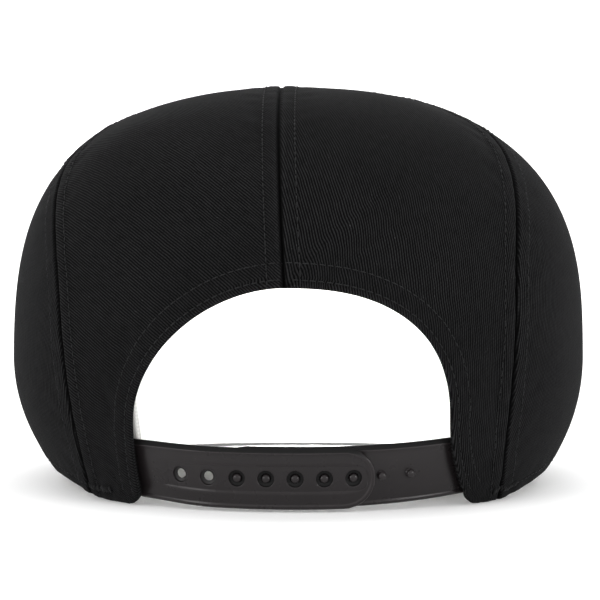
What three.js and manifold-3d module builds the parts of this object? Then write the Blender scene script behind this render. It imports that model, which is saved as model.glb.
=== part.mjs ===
// A five panel cap with a snap strap across an arch at the back.
// Millimetres and degrees. The back is +Y, the wearer's left +X, up +Z, and heights start at the table.
// A turn is an angle round the crown, seen from above, from the middle of the back towards +X.
import * as THREE from "three";
import { mergeVertices } from "three/addons/utils/BufferGeometryUtils.js";
import Module from "manifold-3d";

// Cloth and clearances
const clearance = 0.3;
const layerGap = 0.5;
const clothWall = 1.6;
const backingWall = 1.0;
const facingWall = 0.8;
const bandWall = 1.4;

// Crown: its widest level section, its section at the table and the dome above
const crownHalfWidth = 93;
const crownBackReach = 92;
const crownFrontReach = 107;
const crownHeight = 128.5;
const crownFullHeight = 42;
const hemHalfWidth = 76.6;
const hemBackReach = 86.6;
const hemFrontReach = 102.5;
const planPower = 2.15;
const sidePower = 2.8;
const sideRound = 0.42;
const forePower = 2.15;
const foreRound = 0.465;
const crownLean = 0.8;

// Hem: flat at the back, raised over the ears, low at the temples and raised in front by the peak's bend
const earRise = 5.1;
const templeRise = 3.4;
const frontRise = 12;
const hemBackTurn = 40;
const hemEarTurn = 72;
const hemSideTurn = 90;
const hemPress = 0.8;

// Seams: all five run up to the button, which the maker set a little to the left
const seamShift = 4.5;
const buttonForward = 28;
const leftSideSeamTurn = 52.5;
const rightSideSeamTurn = 48;
const frontSeamTurn = 117;
// The side seams run in a long S: how far they turn from the straight way, in degrees, where they cross it,
// how long the wave is in shares of the way, and how late it dies out at the hem
const seamWaveTurn = 12.5;
const seamWaveMiddle = 0.43;
const seamWaveRun = 0.28;
const seamWaveFade = 12;

// Arch, measured from the back seam to each side
const archHeight = 68;
const archWidestHeight = 26;
const archLeftReach = 46.7;
const archRightReach = 50.8;
const archLeftPower = 1.87;
const archRightPower = 2.42;
const archLeftFoot = -2.1;
const archRightFoot = 4.3;
const archCorner = 4;
const facingWidth = 9.5;
const facingSetback = 0.6;

// Sweatband and backing
const bandHeight = 32;
const bandHemSetback = 1;
const bandEndSetback = 1.5;
const backingSeamSetback = 3;

// Button
const buttonRadius = 7.5;
const buttonHeight = 2.5;
const buttonStemRadius = 1.6;
const buttonStemLength = 4;
const buttonDish = 0.4;

// Peak
const peakProjection = 70;
const peakThickness = 3;
const peakTipRise = 13;
const peakSideSwell = 27;
const peakSideRun = 46;
const peakTipHalfFlat = 72;
const peakCrownOverlap = 1.4;

// Snap strap
const strapHeight = 19;
const strapWall = 1.4;
const strapFloorGap = 0.4;
const strapLeftRise = 0.6;
const strapRightRise = 2.2;
const strapTab = 9;
const strapTipMargin = 6.6;
const snapPitch = 8.97;
const snapCount = 7;
const freeHoles = 2;
const firstHoleX = 37.1;
const holeRadius = 1.6;
const recessRadius = 2.7;
const recessDepth = 0.8;
const pegRadius = 1.15;
const pegHeadRadius = 1.3;
const pegProud = 0.1;

// Facets
const panelRows = 17;
const backingTopRow = 2;
const sideColumns = 14;
const frontColumns = 20;
const backColumns = 8;
const seamRows = 11;
const archRows = 8;
const legRows = 3;
const cornerRows = 2;
const bandColumns = 56;
const bandRows = 3;
const peakRows = 6;
const peakColumns = 28;
const strapColumns = 24;
const tipColumns = 7;
const roundSides = 14;

const tiny = 1e-9;
const centre = new THREE.Vector3(0, 0, crownFullHeight);
const radians = THREE.MathUtils.degToRad;
const mix = THREE.MathUtils.lerp;
const ease = THREE.MathUtils.smoothstep;
const shares = (count) => Array.from({ length: count + 1 }, (_, i) => i / count);

// Level section of the crown at a height: its half width, its reach to the back and to the front, its lean
function sectionAt(z) {
  const up = THREE.MathUtils.clamp((z - crownFullHeight) / (crownHeight - crownFullHeight), 0, 1);
  const down = Math.max(crownFullHeight - z, 0) / crownFullHeight;
  const dome = (power, round) => Math.max(1 - up ** power, tiny) ** round;
  const tuck = (hem, full) => Math.sqrt(Math.max(1 - (1 - (hem / full) ** 2) * down ** 2, tiny));
  return {
    half: crownHalfWidth * dome(sidePower, sideRound) * tuck(hemHalfWidth, crownHalfWidth),
    back: crownBackReach * dome(forePower, foreRound) * tuck(hemBackReach, crownBackReach),
    front: crownFrontReach * dome(forePower, foreRound) * tuck(hemFrontReach, crownFrontReach),
    lean: crownLean * (z - crownFullHeight) / (crownHeight - crownFullHeight),
  };
}

// Below 1 inside the crown, above 1 outside
function crownValue(p) {
  if (p.z >= crownHeight) {
    return Infinity;
  }
  const s = sectionAt(p.z);
  const reach = p.y > 0 ? s.back : s.front;
  return Math.abs((p.x - s.lean) / s.half) ** planPower + Math.abs(p.y / reach) ** planPower;
}

// Where a ray from the crown's centre leaves the crown
function crownPoint(direction) {
  let inner = 0;
  let outer = crownHalfWidth + crownBackReach + crownFrontReach;
  for (let step = 0; step < 48; step += 1) {
    const middle = (inner + outer) / 2;
    if (crownValue(centre.clone().addScaledVector(direction, middle)) > 1) {
      outer = middle;
    } else {
      inner = middle;
    }
  }
  return centre.clone().addScaledVector(direction, inner);
}

// Outward normal, from two crossing steps along the surface
function crownNormal(p) {
  const out = p.clone().sub(centre).normalize();
  const sideways = new THREE.Vector3(out.y, -out.x, 0);
  if (sideways.length() < 0.01) {
    sideways.set(1, 0, 0);
  }
  sideways.normalize();
  const upward = new THREE.Vector3().crossVectors(sideways, out);
  const nudge = 0.002;
  const chord = (axis) => {
    const ahead = crownPoint(out.clone().addScaledVector(axis, nudge).normalize());
    const behind = crownPoint(out.clone().addScaledVector(axis, -nudge).normalize());
    return ahead.sub(behind);
  };
  const normal = chord(sideways).cross(chord(upward)).normalize();
  return normal.dot(out) < 0 ? normal.negate() : normal;
}

const below = (p, depth) => p.clone().addScaledVector(crownNormal(p), -depth);

// Point of the crown at a turn and a height
function crownAt(turn, z) {
  const s = sectionAt(z);
  const sine = Math.sin(radians(turn));
  const cosine = Math.cos(radians(turn));
  const reach = cosine > 0 ? s.back : s.front;
  const sum = Math.abs(sine / s.half) ** planPower + Math.abs(cosine / reach) ** planPower;
  const radius = sum ** (-1 / planPower);
  return new THREE.Vector3(s.lean + radius * sine, radius * cosine, z);
}

// Point of the crown's back seen at x and z from behind
function backAt(x, z) {
  const s = sectionAt(z);
  const share = Math.max(1 - Math.abs((x - s.lean) / s.half) ** planPower, tiny);
  return new THREE.Vector3(x, s.back * share ** (1 / planPower), z);
}

const turnOf = (p) => THREE.MathUtils.radToDeg(Math.atan2(p.x, p.y));

// Height of the hem at a turn; the cap's weight presses it flat at the back, in front it follows the peak's bend
function hemHeight(turn) {
  const away = Math.abs(((turn + 180) % 360 + 360) % 360 - 180);
  if (away > frontSeamTurn) {
    const across = crownAt(away, templeRise).x / crownAt(frontSeamTurn, templeRise).x;
    return mix(frontRise, templeRise, across ** 2);
  }
  const overEar = earRise * ease(away, hemBackTurn, hemEarTurn);
  return mix(Math.max(overEar - hemPress, 0), templeRise, ease(away, hemSideTurn, frontSeamTurn));
}

const hemAt = (turn) => crownAt(turn, hemHeight(turn));

// The button's place, and a flat chart of the crown round it: distance is the angle from the button
function topAt(x, y) {
  let low = crownFullHeight;
  let high = crownHeight;
  for (let step = 0; step < 48; step += 1) {
    const middle = (low + high) / 2;
    if (crownValue(new THREE.Vector3(x, y, middle)) > 1) {
      high = middle;
    } else {
      low = middle;
    }
  }
  return new THREE.Vector3(x, y, low);
}

const buttonPoint = topAt(seamShift, -buttonForward);
const pole = buttonPoint.clone().sub(centre).normalize();
const poleBack = new THREE.Vector3(0, 1, 0).addScaledVector(pole, -pole.y).normalize();
const poleLeft = new THREE.Vector3().crossVectors(poleBack, pole);

function toChart(p) {
  const out = p.clone().sub(centre).normalize();
  const angle = Math.acos(THREE.MathUtils.clamp(out.dot(pole), -1, 1));
  return new THREE.Vector2(out.dot(poleLeft), out.dot(poleBack)).normalize().multiplyScalar(angle);
}

function fromChart(v) {
  const angle = v.length();
  const across = new THREE.Vector3().addScaledVector(poleLeft, v.x).addScaledVector(poleBack, v.y);
  return crownPoint(pole.clone().multiplyScalar(Math.cos(angle)).addScaledVector(across.normalize(), Math.sin(angle)));
}

// Chart angle of the hole that the button's stem passes
const buttonHole = (buttonStemRadius + 2 * clearance) / buttonPoint.distanceTo(centre);
const downSeam = (foot, share) => foot.clone().multiplyScalar(mix(buttonHole / foot.length(), 1, share));

// The same for a side seam, with its wave
function downSideSeam(foot, share) {
  const phase = THREE.MathUtils.clamp((share - seamWaveMiddle) / seamWaveRun, -1, 1);
  const wave = Math.sin(phase * Math.PI / 2) * (1 - share ** seamWaveFade);
  return downSeam(foot, share).rotateAround(new THREE.Vector2(), Math.sign(foot.x) * radians(seamWaveTurn) * wave);
}

// Arch edge on one side, as points seen from behind, from the back seam down to the hem
function archEdge(side) {
  const reach = side > 0 ? archLeftReach : archRightReach;
  const power = side > 0 ? archLeftPower : archRightPower;
  const foot = side > 0 ? archLeftFoot : archRightFoot;
  const cornerTop = archCorner + hemHeight(0);
  const round = shares(archRows).map((share) => {
    const angle = share * Math.PI / 2;
    const x = reach * Math.sin(angle) ** (2 / power);
    const z = mix(archWidestHeight, archHeight, Math.max(Math.cos(angle), 0) ** (2 / power));
    return new THREE.Vector2(seamShift + side * x, z);
  });
  const leg = shares(legRows).slice(1).map((share) => {
    const x = reach + foot * share ** 2;
    return new THREE.Vector2(seamShift + side * x, mix(archWidestHeight, cornerTop, share));
  });
  const corner = shares(cornerRows).slice(1).map((share) => {
    const angle = share * Math.PI / 2;
    const x = seamShift + side * (reach + foot + archCorner * (1 - Math.cos(angle)));
    const drop = hemHeight(turnOf(backAt(x, cornerTop)));
    return new THREE.Vector2(x, mix(cornerTop, drop, Math.sin(angle)));
  });
  return [...round, ...leg, ...corner];
}

// A grid of rows of surface points, with a setback left at both ends of each row
function rowsOf(count, columns, pointAt, setback = clearance / 2) {
  return shares(count).map((down, row) => {
    const width = pointAt(row, 0).distanceTo(pointAt(row, 1));
    const margin = setback / width;
    return shares(columns).map((across) => pointAt(row, mix(margin, 1 - margin, across)));
  });
}

// Front panel, between two turns of the hem, with straight lines up to the button
function fannedRows(fromTurn, toTurn, columns, setback) {
  const pointAt = (row, across) => {
    const foot = toChart(hemAt(mix(fromTurn, toTurn, across)));
    return fromChart(downSeam(foot, row / panelRows));
  };
  return rowsOf(panelRows, columns, pointAt, setback);
}

// Side panel: from the front seam to the side seam, whose wave it takes on by and by
function sideRows(side) {
  const seamTurn = side > 0 ? leftSideSeamTurn : -rightSideSeamTurn;
  const seamFoot = toChart(hemAt(seamTurn));
  return rowsOf(panelRows, sideColumns, (row, across) => {
    const share = row / panelRows;
    const straight = downSeam(toChart(hemAt(mix(side * frontSeamTurn, seamTurn, across))), share);
    const pull = downSideSeam(seamFoot, share).sub(downSeam(seamFoot, share));
    return fromChart(straight.addScaledVector(pull, across));
  });
}

// Back panel: from the back seam and the arch's edge across to the side seam
function backRows(side) {
  const edge = archEdge(side);
  const edgeCharts = edge.map((q) => toChart(backAt(q.x, q.y)));
  const seam = shares(seamRows).slice(0, -1).map((share) => downSeam(edgeCharts[0], share));
  const inner = [...seam, ...edgeCharts];
  const count = inner.length - 1;
  const heel = edge[edge.length - 1];
  const heelTurn = turnOf(backAt(heel.x, heel.y));
  const sideTurn = side > 0 ? leftSideSeamTurn : -rightSideSeamTurn;
  const hemChart = (across) => toChart(hemAt(mix(heelTurn, sideTurn, across)));
  const sideFoot = hemChart(1);
  const bend = (across) => hemChart(across).sub(inner[count].clone().lerp(sideFoot, across));
  return rowsOf(count, backColumns, (row, across) => {
    const share = row / count;
    const weight = Math.max((row - seamRows) / (count - seamRows), 0) ** 2;
    const flat = inner[row].clone().lerp(downSideSeam(sideFoot, share), across);
    return fromChart(flat.addScaledVector(bend(across), weight));
  });
}

// Closed body between two grids of the same size, with its faces pointing out
function shell(outerRows, innerRows) {
  const rows = outerRows.length;
  const columns = outerRows[0].length;
  const points = [...outerRows.flat(), ...innerRows.flat()];
  const outerIndex = (row, column) => row * columns + column;
  const innerIndex = (row, column) => rows * columns + row * columns + column;
  const triangles = [];
  const quad = (a, b, c, d) => triangles.push(a, b, c, a, c, d);
  for (let row = 0; row < rows - 1; row += 1) {
    for (let column = 0; column < columns - 1; column += 1) {
      const around = [[row, column], [row + 1, column], [row + 1, column + 1], [row, column + 1]];
      const back = [around[0], around[3], around[2], around[1]];
      quad(...around.map(([r, c]) => outerIndex(r, c)));
      quad(...back.map(([r, c]) => innerIndex(r, c)));
    }
  }
  for (let column = 0; column < columns - 1; column += 1) {
    const last = rows - 1;
    quad(outerIndex(0, column + 1), innerIndex(0, column + 1), innerIndex(0, column), outerIndex(0, column));
    quad(outerIndex(last, column), innerIndex(last, column), innerIndex(last, column + 1), outerIndex(last, column + 1));
  }
  for (let row = 0; row < rows - 1; row += 1) {
    const last = columns - 1;
    quad(outerIndex(row, 0), innerIndex(row, 0), innerIndex(row + 1, 0), outerIndex(row + 1, 0));
    quad(outerIndex(row + 1, last), innerIndex(row + 1, last), innerIndex(row, last), outerIndex(row, last));
  }
  const geometry = new THREE.BufferGeometry();
  geometry.setAttribute("position", new THREE.Float32BufferAttribute(points.flatMap((p) => p.toArray()), 3));
  geometry.setIndex(enclosedVolume(points, triangles) < 0 ? triangles.reverse() : triangles);
  return geometry;
}

function enclosedVolume(points, triangles) {
  let sixfold = 0;
  for (let i = 0; i < triangles.length; i += 3) {
    const [a, b, c] = triangles.slice(i, i + 3).map((index) => points[index]);
    sixfold += a.dot(b.clone().cross(c));
  }
  return sixfold / 6;
}

// Cloth layer: the surface rows sunk to one depth outside and to another inside
const sunk = (rows, depth) => rows.map((row) => row.map((p) => below(p, depth(p))));
const layer = (rows, depth, wall) => shell(sunk(rows, depth), sunk(rows, (p) => depth(p) + wall));
const atDepth = (depth) => () => depth;

// Crown panel, with its hem folded level
function wallPanel(rows) {
  const inner = sunk(rows, atDepth(clothWall));
  const last = rows.length - 1;
  inner[last].forEach((p, column) => p.setZ(rows[last][column].z));
  return shell(rows, inner);
}

// Joining and cutting
const wasm = await Module();
wasm.setup();

function toManifold(geometry) {
  const bare = geometry.clone();
  bare.deleteAttribute("normal");
  bare.deleteAttribute("uv");
  const welded = mergeVertices(bare, 1e-4);
  const index = Array.from(welded.index.array);
  const kept = [];
  for (let i = 0; i < index.length; i += 3) {
    const [a, b, c] = index.slice(i, i + 3);
    if (a !== b && b !== c && c !== a) {
      kept.push(a, b, c);
    }
  }
  const vertProperties = new Float32Array(welded.attributes.position.array);
  return new wasm.Manifold(new wasm.Mesh({ numProp: 3, vertProperties, triVerts: new Uint32Array(kept) }));
}

function fromManifold(solid) {
  const mesh = solid.getMesh();
  const geometry = new THREE.BufferGeometry();
  geometry.setAttribute("position", new THREE.BufferAttribute(mesh.vertProperties.slice(), 3));
  geometry.setIndex(new THREE.BufferAttribute(mesh.triVerts.slice(), 1));
  return geometry;
}

// A turned solid whose axis stands on a point along a direction
function stood(profile, point, direction) {
  const outline = profile.map(([radius, height]) => new THREE.Vector2(radius, height));
  const geometry = new THREE.LatheGeometry(outline, roundSides);
  const turn = new THREE.Quaternion().setFromUnitVectors(new THREE.Vector3(0, 1, 0), direction);
  geometry.applyQuaternion(turn);
  return toManifold(geometry.translate(point.x, point.y, point.z));
}

// Facing round the arch, on the inside of the two back panels
function facingGeometry() {
  const edges = [1, -1].map((side) => archEdge(side).slice(0, -cornerRows));
  const path = [...edges[0].slice(1).reverse(), ...edges[1]];
  const rows = path.map((q, i) => {
    const ahead = path[Math.min(i + 1, path.length - 1)];
    const behind = path[Math.max(i - 1, 0)];
    const along = ahead.clone().sub(behind).normalize();
    const outward = new THREE.Vector2(along.y, -along.x);
    return [facingSetback, (facingSetback + facingWidth) / 2, facingWidth].map((distance) => {
      const at = q.clone().addScaledVector(outward, distance);
      return backAt(at.x, at.y);
    });
  });
  return layer(rows, atDepth(clothWall + layerGap), facingWall);
}

// Backing inside the front panel: the panel's own rows, short of the button, the seams and the hem
function backingGeometry() {
  const rows = fannedRows(frontSeamTurn, 360 - frontSeamTurn, frontColumns, backingSeamSetback);
  return layer(rows.slice(backingTopRow, -1), atDepth(clothWall + layerGap), backingWall);
}

// Where the strap's hidden tabs end, seen from behind
const leftTabX = seamShift + archLeftReach + archLeftFoot + strapTab;
const rightTabX = seamShift - archRightReach - archRightFoot - strapTab;

// Sweatband: close behind the crown, it steps in over the backing and over the strap's tabs
const strapDepth = clothWall + layerGap + facingWall + layerGap;

function bandDepth(p) {
  const turn = turnOf(p);
  const tab = p.x > 0 ? leftTabX + facingWidth - strapTab : rightTabX - facingWidth + strapTab;
  const tabTurn = Math.abs(turnOf(backAt(tab, strapHeight)));
  const overTab = 1 - ease(Math.abs(turn), tabTurn + 2, tabTurn + 14);
  const overBacking = ease(Math.abs(turn), frontSeamTurn - 8, frontSeamTurn);
  const tabStep = strapDepth - clothWall + strapWall;
  return clothWall + layerGap + overTab * tabStep + overBacking * (backingWall + layerGap);
}

function bandGeometry() {
  const endTurn = (x) => turnOf(backAt(x, archWidestHeight));
  const start = endTurn(seamShift + archLeftReach + bandEndSetback);
  const end = 360 + endTurn(seamShift - archRightReach - Math.max(archRightFoot, 0) - bandEndSetback);
  const rows = shares(bandRows).map((share) => shares(bandColumns).map((across) => {
    const turn = mix(start, end, across);
    return crownAt(turn, hemHeight(turn) + bandHemSetback + share * bandHeight);
  }));
  return layer(rows, bandDepth, bandWall);
}

// Covered button, dished underneath to sit on the crown, with its stem through the crown
function buttonGeometry() {
  const profile = [
    [0, -buttonStemLength],
    [buttonStemRadius, -buttonStemLength],
    [buttonStemRadius, clearance],
    [buttonRadius * 0.7, clearance - buttonDish * 0.4],
    [buttonRadius, clearance - buttonDish * 0.4],
    [buttonRadius, buttonHeight * 0.35],
    [buttonRadius * 0.9, buttonHeight * 0.7],
    [buttonRadius * 0.6, buttonHeight * 0.93],
    [0, buttonHeight],
  ];
  return fromManifold(stood(profile, buttonPoint, crownNormal(buttonPoint)));
}

// Peak: a bent sheet under the front hem, its outline a smooth curve from each temple to the tip
function peakGeometry() {
  const temple = hemAt(frontSeamTurn);
  const tipY = -hemFrontReach - peakProjection;
  const outline = new THREE.CubicBezierCurve(
    new THREE.Vector2(temple.x, temple.y),
    new THREE.Vector2(temple.x + peakSideSwell, temple.y - peakSideRun),
    new THREE.Vector2(peakTipHalfFlat, tipY),
    new THREE.Vector2(0, tipY),
  );
  const half = shares(peakColumns / 2).map((share) => outline.getPoint(share));
  const widest = half.reduce((best, q, i) => (q.x > half[best].x ? i : best), 0);
  const rises = half.map((q, i) => mix(peakTipRise, peakThickness, i < widest ? 1 : (q.x / half[widest].x) ** 2));
  const edge = [...half, ...half.slice(0, -1).reverse().map((q) => new THREE.Vector2(-q.x, q.y))];
  const top = edge.map((q, column) => {
    const turn = mix(frontSeamTurn, 360 - frontSeamTurn, column / peakColumns);
    const root = below(hemAt(turn), peakCrownOverlap);
    root.z = hemHeight(turn) - clearance;
    return [root, new THREE.Vector3(q.x, q.y, rises[Math.min(column, peakColumns - column)])];
  });
  const upper = shares(peakRows).map((share) => top.map(([root, rim]) => {
    const end = rim.clone();
    end.y = Math.min(rim.y, root.y - 2 * clearance);
    return root.clone().lerp(end, share);
  }));
  const lower = upper.map((row) => row.map((p) => new THREE.Vector3(p.x, p.y, p.z - peakThickness)));
  return shell(upper, lower);
}

// Snap strap, as a strip of the crown's surface bent across the arch
const snapX = (index) => firstHoleX - index * snapPitch;
const strapLow = (x) => {
  const rise = x > 0 ? strapLeftRise * (x / leftTabX) ** 2 : strapRightRise * (x / rightTabX) ** 2;
  return strapFloorGap + rise;
};
const strapMiddle = (x) => strapLow(x) + strapHeight / 2;
const lastHoleX = snapX(snapCount - 1);
const firstPegX = snapX(freeHoles);

// How far the outer half stands out from the inner one's depth, past the inner half's tip
const holesDepth = (x) => {
  const lift = 1 - ease(x, firstPegX + strapTipMargin, seamShift + archLeftReach + archLeftFoot);
  return strapDepth - lift * (strapWall + clearance);
};

function strapSolid(fromX, tipX, depth) {
  const way = Math.sign(tipX - fromX);
  const radius = strapHeight / 2;
  const straight = shares(strapColumns).map((share) => [mix(fromX, tipX - way * radius, share), radius]);
  const round = shares(tipColumns).slice(1).map((share) => {
    const angle = share * 0.95 * Math.PI / 2;
    return [tipX - way * radius * (1 - Math.sin(angle)), radius * Math.cos(angle)];
  });
  const rows = [...straight, ...round].map(([x, half]) => {
    return [-1, 0, 1].map((level) => backAt(x, strapMiddle(x) + level * half));
  });
  return toManifold(layer(rows, (p) => depth(p.x), strapWall));
}

function strapWithHoles() {
  let solid = strapSolid(leftTabX, lastHoleX - strapTipMargin, holesDepth);
  const deep = strapWall + 1;
  for (let index = 0; index < snapCount; index += 1) {
    const x = snapX(index);
    const surface = backAt(x, strapMiddle(x));
    const normal = crownNormal(surface);
    const face = below(surface, holesDepth(x));
    const cutter = [
      [0, -deep],
      [holeRadius, -deep],
      [holeRadius, -recessDepth],
      [recessRadius, -recessDepth],
      [recessRadius, deep],
      [0, deep],
    ];
    solid = solid.subtract(stood(cutter, face, normal));
  }
  return fromManifold(solid);
}

function strapWithPegs() {
  let solid = strapSolid(rightTabX, firstPegX + strapTipMargin, atDepth(strapDepth));
  const tall = clearance + strapWall + pegProud;
  for (let index = freeHoles; index < freeHoles + snapCount; index += 1) {
    const x = snapX(index);
    const surface = backAt(x, strapMiddle(x));
    const peg = [
      [0, -strapWall / 2],
      [pegRadius, -strapWall / 2],
      [pegRadius, tall - pegHeadRadius],
      [pegHeadRadius, tall - pegHeadRadius * 0.6],
      [pegHeadRadius * 0.7, tall - pegHeadRadius * 0.15],
      [0, tall],
    ];
    solid = solid.add(stood(peg, below(surface, strapDepth), crownNormal(surface)));
  }
  return fromManifold(solid);
}

// Materials
const twill = () => new THREE.MeshStandardMaterial({ color: 0x1c1c1d, roughness: 0.95, metalness: 0 });
const paleCloth = () => new THREE.MeshStandardMaterial({ color: 0xe9e7e2, roughness: 0.95, metalness: 0 });
const plastic = () => new THREE.MeshStandardMaterial({ color: 0x2d2b2c, roughness: 0.42, metalness: 0 });

const pieces = [
  ["front_panel", wallPanel(fannedRows(frontSeamTurn, 360 - frontSeamTurn, frontColumns)), twill()],
  ["front_backing", backingGeometry(), paleCloth()],
  ["side_panel_left", wallPanel(sideRows(1)), twill()],
  ["side_panel_right", wallPanel(sideRows(-1)), twill()],
  ["back_panel_left", wallPanel(backRows(1)), twill()],
  ["back_panel_right", wallPanel(backRows(-1)), twill()],
  ["arch_facing", facingGeometry(), twill()],
  ["sweatband", bandGeometry(), paleCloth()],
  ["top_button", buttonGeometry(), twill()],
  ["peak", peakGeometry(), twill()],
  ["strap_with_holes", strapWithHoles(), plastic()],
  ["strap_with_pegs", strapWithPegs(), plastic()],
];

// The origin is the middle of the floor under the whole cap
const cap = new THREE.Group();
const body = new THREE.Group();
cap.add(body);
for (const [name, geometry, material] of pieces) {
  geometry.computeVertexNormals();
  const mesh = new THREE.Mesh(geometry, material);
  mesh.name = name;
  body.add(mesh);
}
const box = new THREE.Box3().setFromObject(body);
const middle = box.getCenter(new THREE.Vector3());
body.position.set(-middle.x, -middle.y, -box.min.z);

export default cap;
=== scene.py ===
"""A black twill five panel cap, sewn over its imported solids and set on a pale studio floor.

The shape functions work in millimetres in the cap's own frame: the back is +Y, the wearer's left
is +X and heights start at the table. placed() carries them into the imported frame, in metres.
A turn is an angle round the crown, seen from above, from the middle of the back towards +X.
"""
import math

import bmesh
import bpy
import numpy as np
from mathutils import Matrix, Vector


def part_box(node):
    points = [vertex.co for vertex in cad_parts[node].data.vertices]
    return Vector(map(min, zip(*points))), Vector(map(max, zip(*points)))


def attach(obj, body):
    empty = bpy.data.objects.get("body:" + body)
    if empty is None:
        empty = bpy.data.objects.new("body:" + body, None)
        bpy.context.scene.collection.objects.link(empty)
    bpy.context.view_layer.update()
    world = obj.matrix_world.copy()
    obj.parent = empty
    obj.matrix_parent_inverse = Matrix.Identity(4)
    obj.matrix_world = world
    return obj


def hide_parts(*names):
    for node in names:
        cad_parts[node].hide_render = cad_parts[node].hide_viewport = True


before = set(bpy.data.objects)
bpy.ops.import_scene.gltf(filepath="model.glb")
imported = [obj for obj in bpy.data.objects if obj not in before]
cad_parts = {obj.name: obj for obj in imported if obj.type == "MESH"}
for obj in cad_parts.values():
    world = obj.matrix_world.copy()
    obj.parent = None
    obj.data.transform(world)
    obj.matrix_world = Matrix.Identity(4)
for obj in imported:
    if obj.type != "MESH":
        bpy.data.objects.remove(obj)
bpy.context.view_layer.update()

bl_info = {
    "name": "Five panel cap",
    "version": (1, 0, 0),
    "blender": (4, 5, 0),
    "location": "3D View > Sidebar > Cap",
    "description": "Sews the cloth, the stitching and the snap strap of a five panel cap",
    "category": "Object",
}

METRE = 0.001
TINY = 1e-9

# Layers of cloth
CLOTH_WALL = 1.6
LAYER_GAP = 0.5
BACKING_WALL = 1.0
FACING_WALL = 0.8
BAND_WALL = 1.4
CLEARANCE = 0.3
# The panels overlap by a hair at each seam, so that no light comes through
SEAM_GAP = -0.03

# Crown: its widest level section, its section at the table and the dome above
CROWN_HALF = 93.0
CROWN_BACK = 92.0
CROWN_FRONT = 107.0
CROWN_TOP = 128.5
CROWN_FULL = 42.0
HEM_HALF = 76.6
HEM_BACK = 86.6
HEM_FRONT = 102.5
PLAN_POWER = 2.15
SIDE_POWER = 2.8
SIDE_ROUND = 0.42
FORE_POWER = 2.15
FORE_ROUND = 0.465
CROWN_LEAN = 0.8
CENTRE = np.array([0.0, 0.0, CROWN_FULL])

# Hem
EAR_RISE = 5.1
TEMPLE_RISE = 3.4
FRONT_RISE = 12.0
HEM_BACK_TURN = 40.0
HEM_EAR_TURN = 72.0
HEM_SIDE_TURN = 90.0
HEM_PRESS = 0.8

# Seams
SEAM_SHIFT = 4.5
BUTTON_FORWARD = 28.0
LEFT_SEAM_TURN = 52.5
RIGHT_SEAM_TURN = 48.0
FRONT_SEAM_TURN = 117.0
SEAM_WAVE_TURN = 12.5
SEAM_WAVE_MIDDLE = 0.43
SEAM_WAVE_RUN = 0.28
SEAM_WAVE_FADE = 12
BUTTON_HOLE = 2.2

# Arch at the back
ARCH_TOP = 68.0
ARCH_WIDEST = 26.0
ARCH_REACH = {1: 46.7, -1: 50.8}
ARCH_POWER = {1: 1.87, -1: 2.42}
ARCH_FOOT = {1: -2.1, -1: 4.3}
ARCH_CORNER = 4.0
FACING_WIDTH = 9.5
FACING_SETBACK = 0.6

# Sweatband and backing
BAND_HEIGHT = 32.0
BAND_HEM_SETBACK = 1.0
BAND_END_SETBACK = 1.5
# In front the band is drawn down to the floor, with a narrow first row that keeps its fold sharp
BAND_FLOOR_GAP = 0.02
BAND_FOLD_SHARE = 0.0008
BACKING_SETBACK = 3.0
BACKING_FROM = 2 / 17
BACKING_TO = 16 / 17

# Button
BUTTON_RADIUS = 7.5
BUTTON_HEIGHT = 2.5
BUTTON_LIP = 0.25

# Peak
PEAK_PROJECTION = 70.0
PEAK_WALL = 3.0
PEAK_TIP_RISE = 13.0
PEAK_SWELL = 27.0
PEAK_RUN = 46.0
PEAK_FLAT = 72.0
PEAK_OVERLAP = 1.4

# Snap strap
STRAP_HEIGHT = 19.0
STRAP_WALL = 1.4
STRAP_FLOOR_GAP = 0.4
STRAP_LEFT_RISE = 0.6
STRAP_RIGHT_RISE = 2.2
STRAP_TAB = 9.0
STRAP_TIP = 6.6
SNAP_PITCH = 8.97
SNAP_COUNT = 7
FREE_HOLES = 2
FIRST_HOLE_X = 37.1
HOLE_RADIUS = 1.5
RECESS_RADIUS = 2.6
RECESS_DEPTH = 0.8
PEG_RADIUS = 1.15
PEG_HEAD = 1.3
PEG_PROUD = 0.1

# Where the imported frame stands: the peak is even about the cap's middle, and its tip's reach is known
_peak_low, _peak_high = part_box("peak")
SHIFT = np.array([
    (_peak_low[0] + _peak_high[0]) / 2 / METRE,
    _peak_low[1] / METRE + HEM_FRONT + PEAK_PROJECTION,
    0.0,
])


# ---- Numbers ----

def lerp(a, b, share):
    return a + (b - a) * share


def ease(x, low, high):
    """Smooth step: t squared times (3 - 2t), where t runs from 0 at low to 1 at high."""
    t = np.clip((x - low) / (high - low), 0.0, 1.0)
    return t * t * (3 - 2 * t)


def bell(x, width):
    """exp(-(x / width) squared)."""
    return np.exp(-((x / width) ** 2))


def length(v):
    return np.linalg.norm(v, axis=-1)


def unit(v):
    return v / np.maximum(length(v), TINY)[..., None]


def crowded(count, crowd_start, crowd_end):
    """Shares from 0 to 1, closer together at the ends: the step is one less crowd times a raised cosine."""
    t = np.linspace(0, 1, count + 1)
    step = 1 - crowd_start * (0.5 + 0.5 * np.cos(np.pi * np.minimum(t * 2, 1)))
    step = step - crowd_end * (0.5 + 0.5 * np.cos(np.pi * np.minimum((1 - t) * 2, 1)))
    total = np.concatenate([[0], np.cumsum((step[1:] + step[:-1]) / 2)])
    return total / total[-1]


def ripple(along, seed, waves=(7.0, 11.5, 18.0)):
    """Sum of one sine for each wavelength, with phases drawn from the seed, from about -1 to 1."""
    draw = np.random.RandomState(seed)
    phases = draw.uniform(0, 2 * np.pi, len(waves))
    return sum(np.sin(2 * np.pi * along / w + p) for w, p in zip(waves, phases)) / len(waves)


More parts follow.
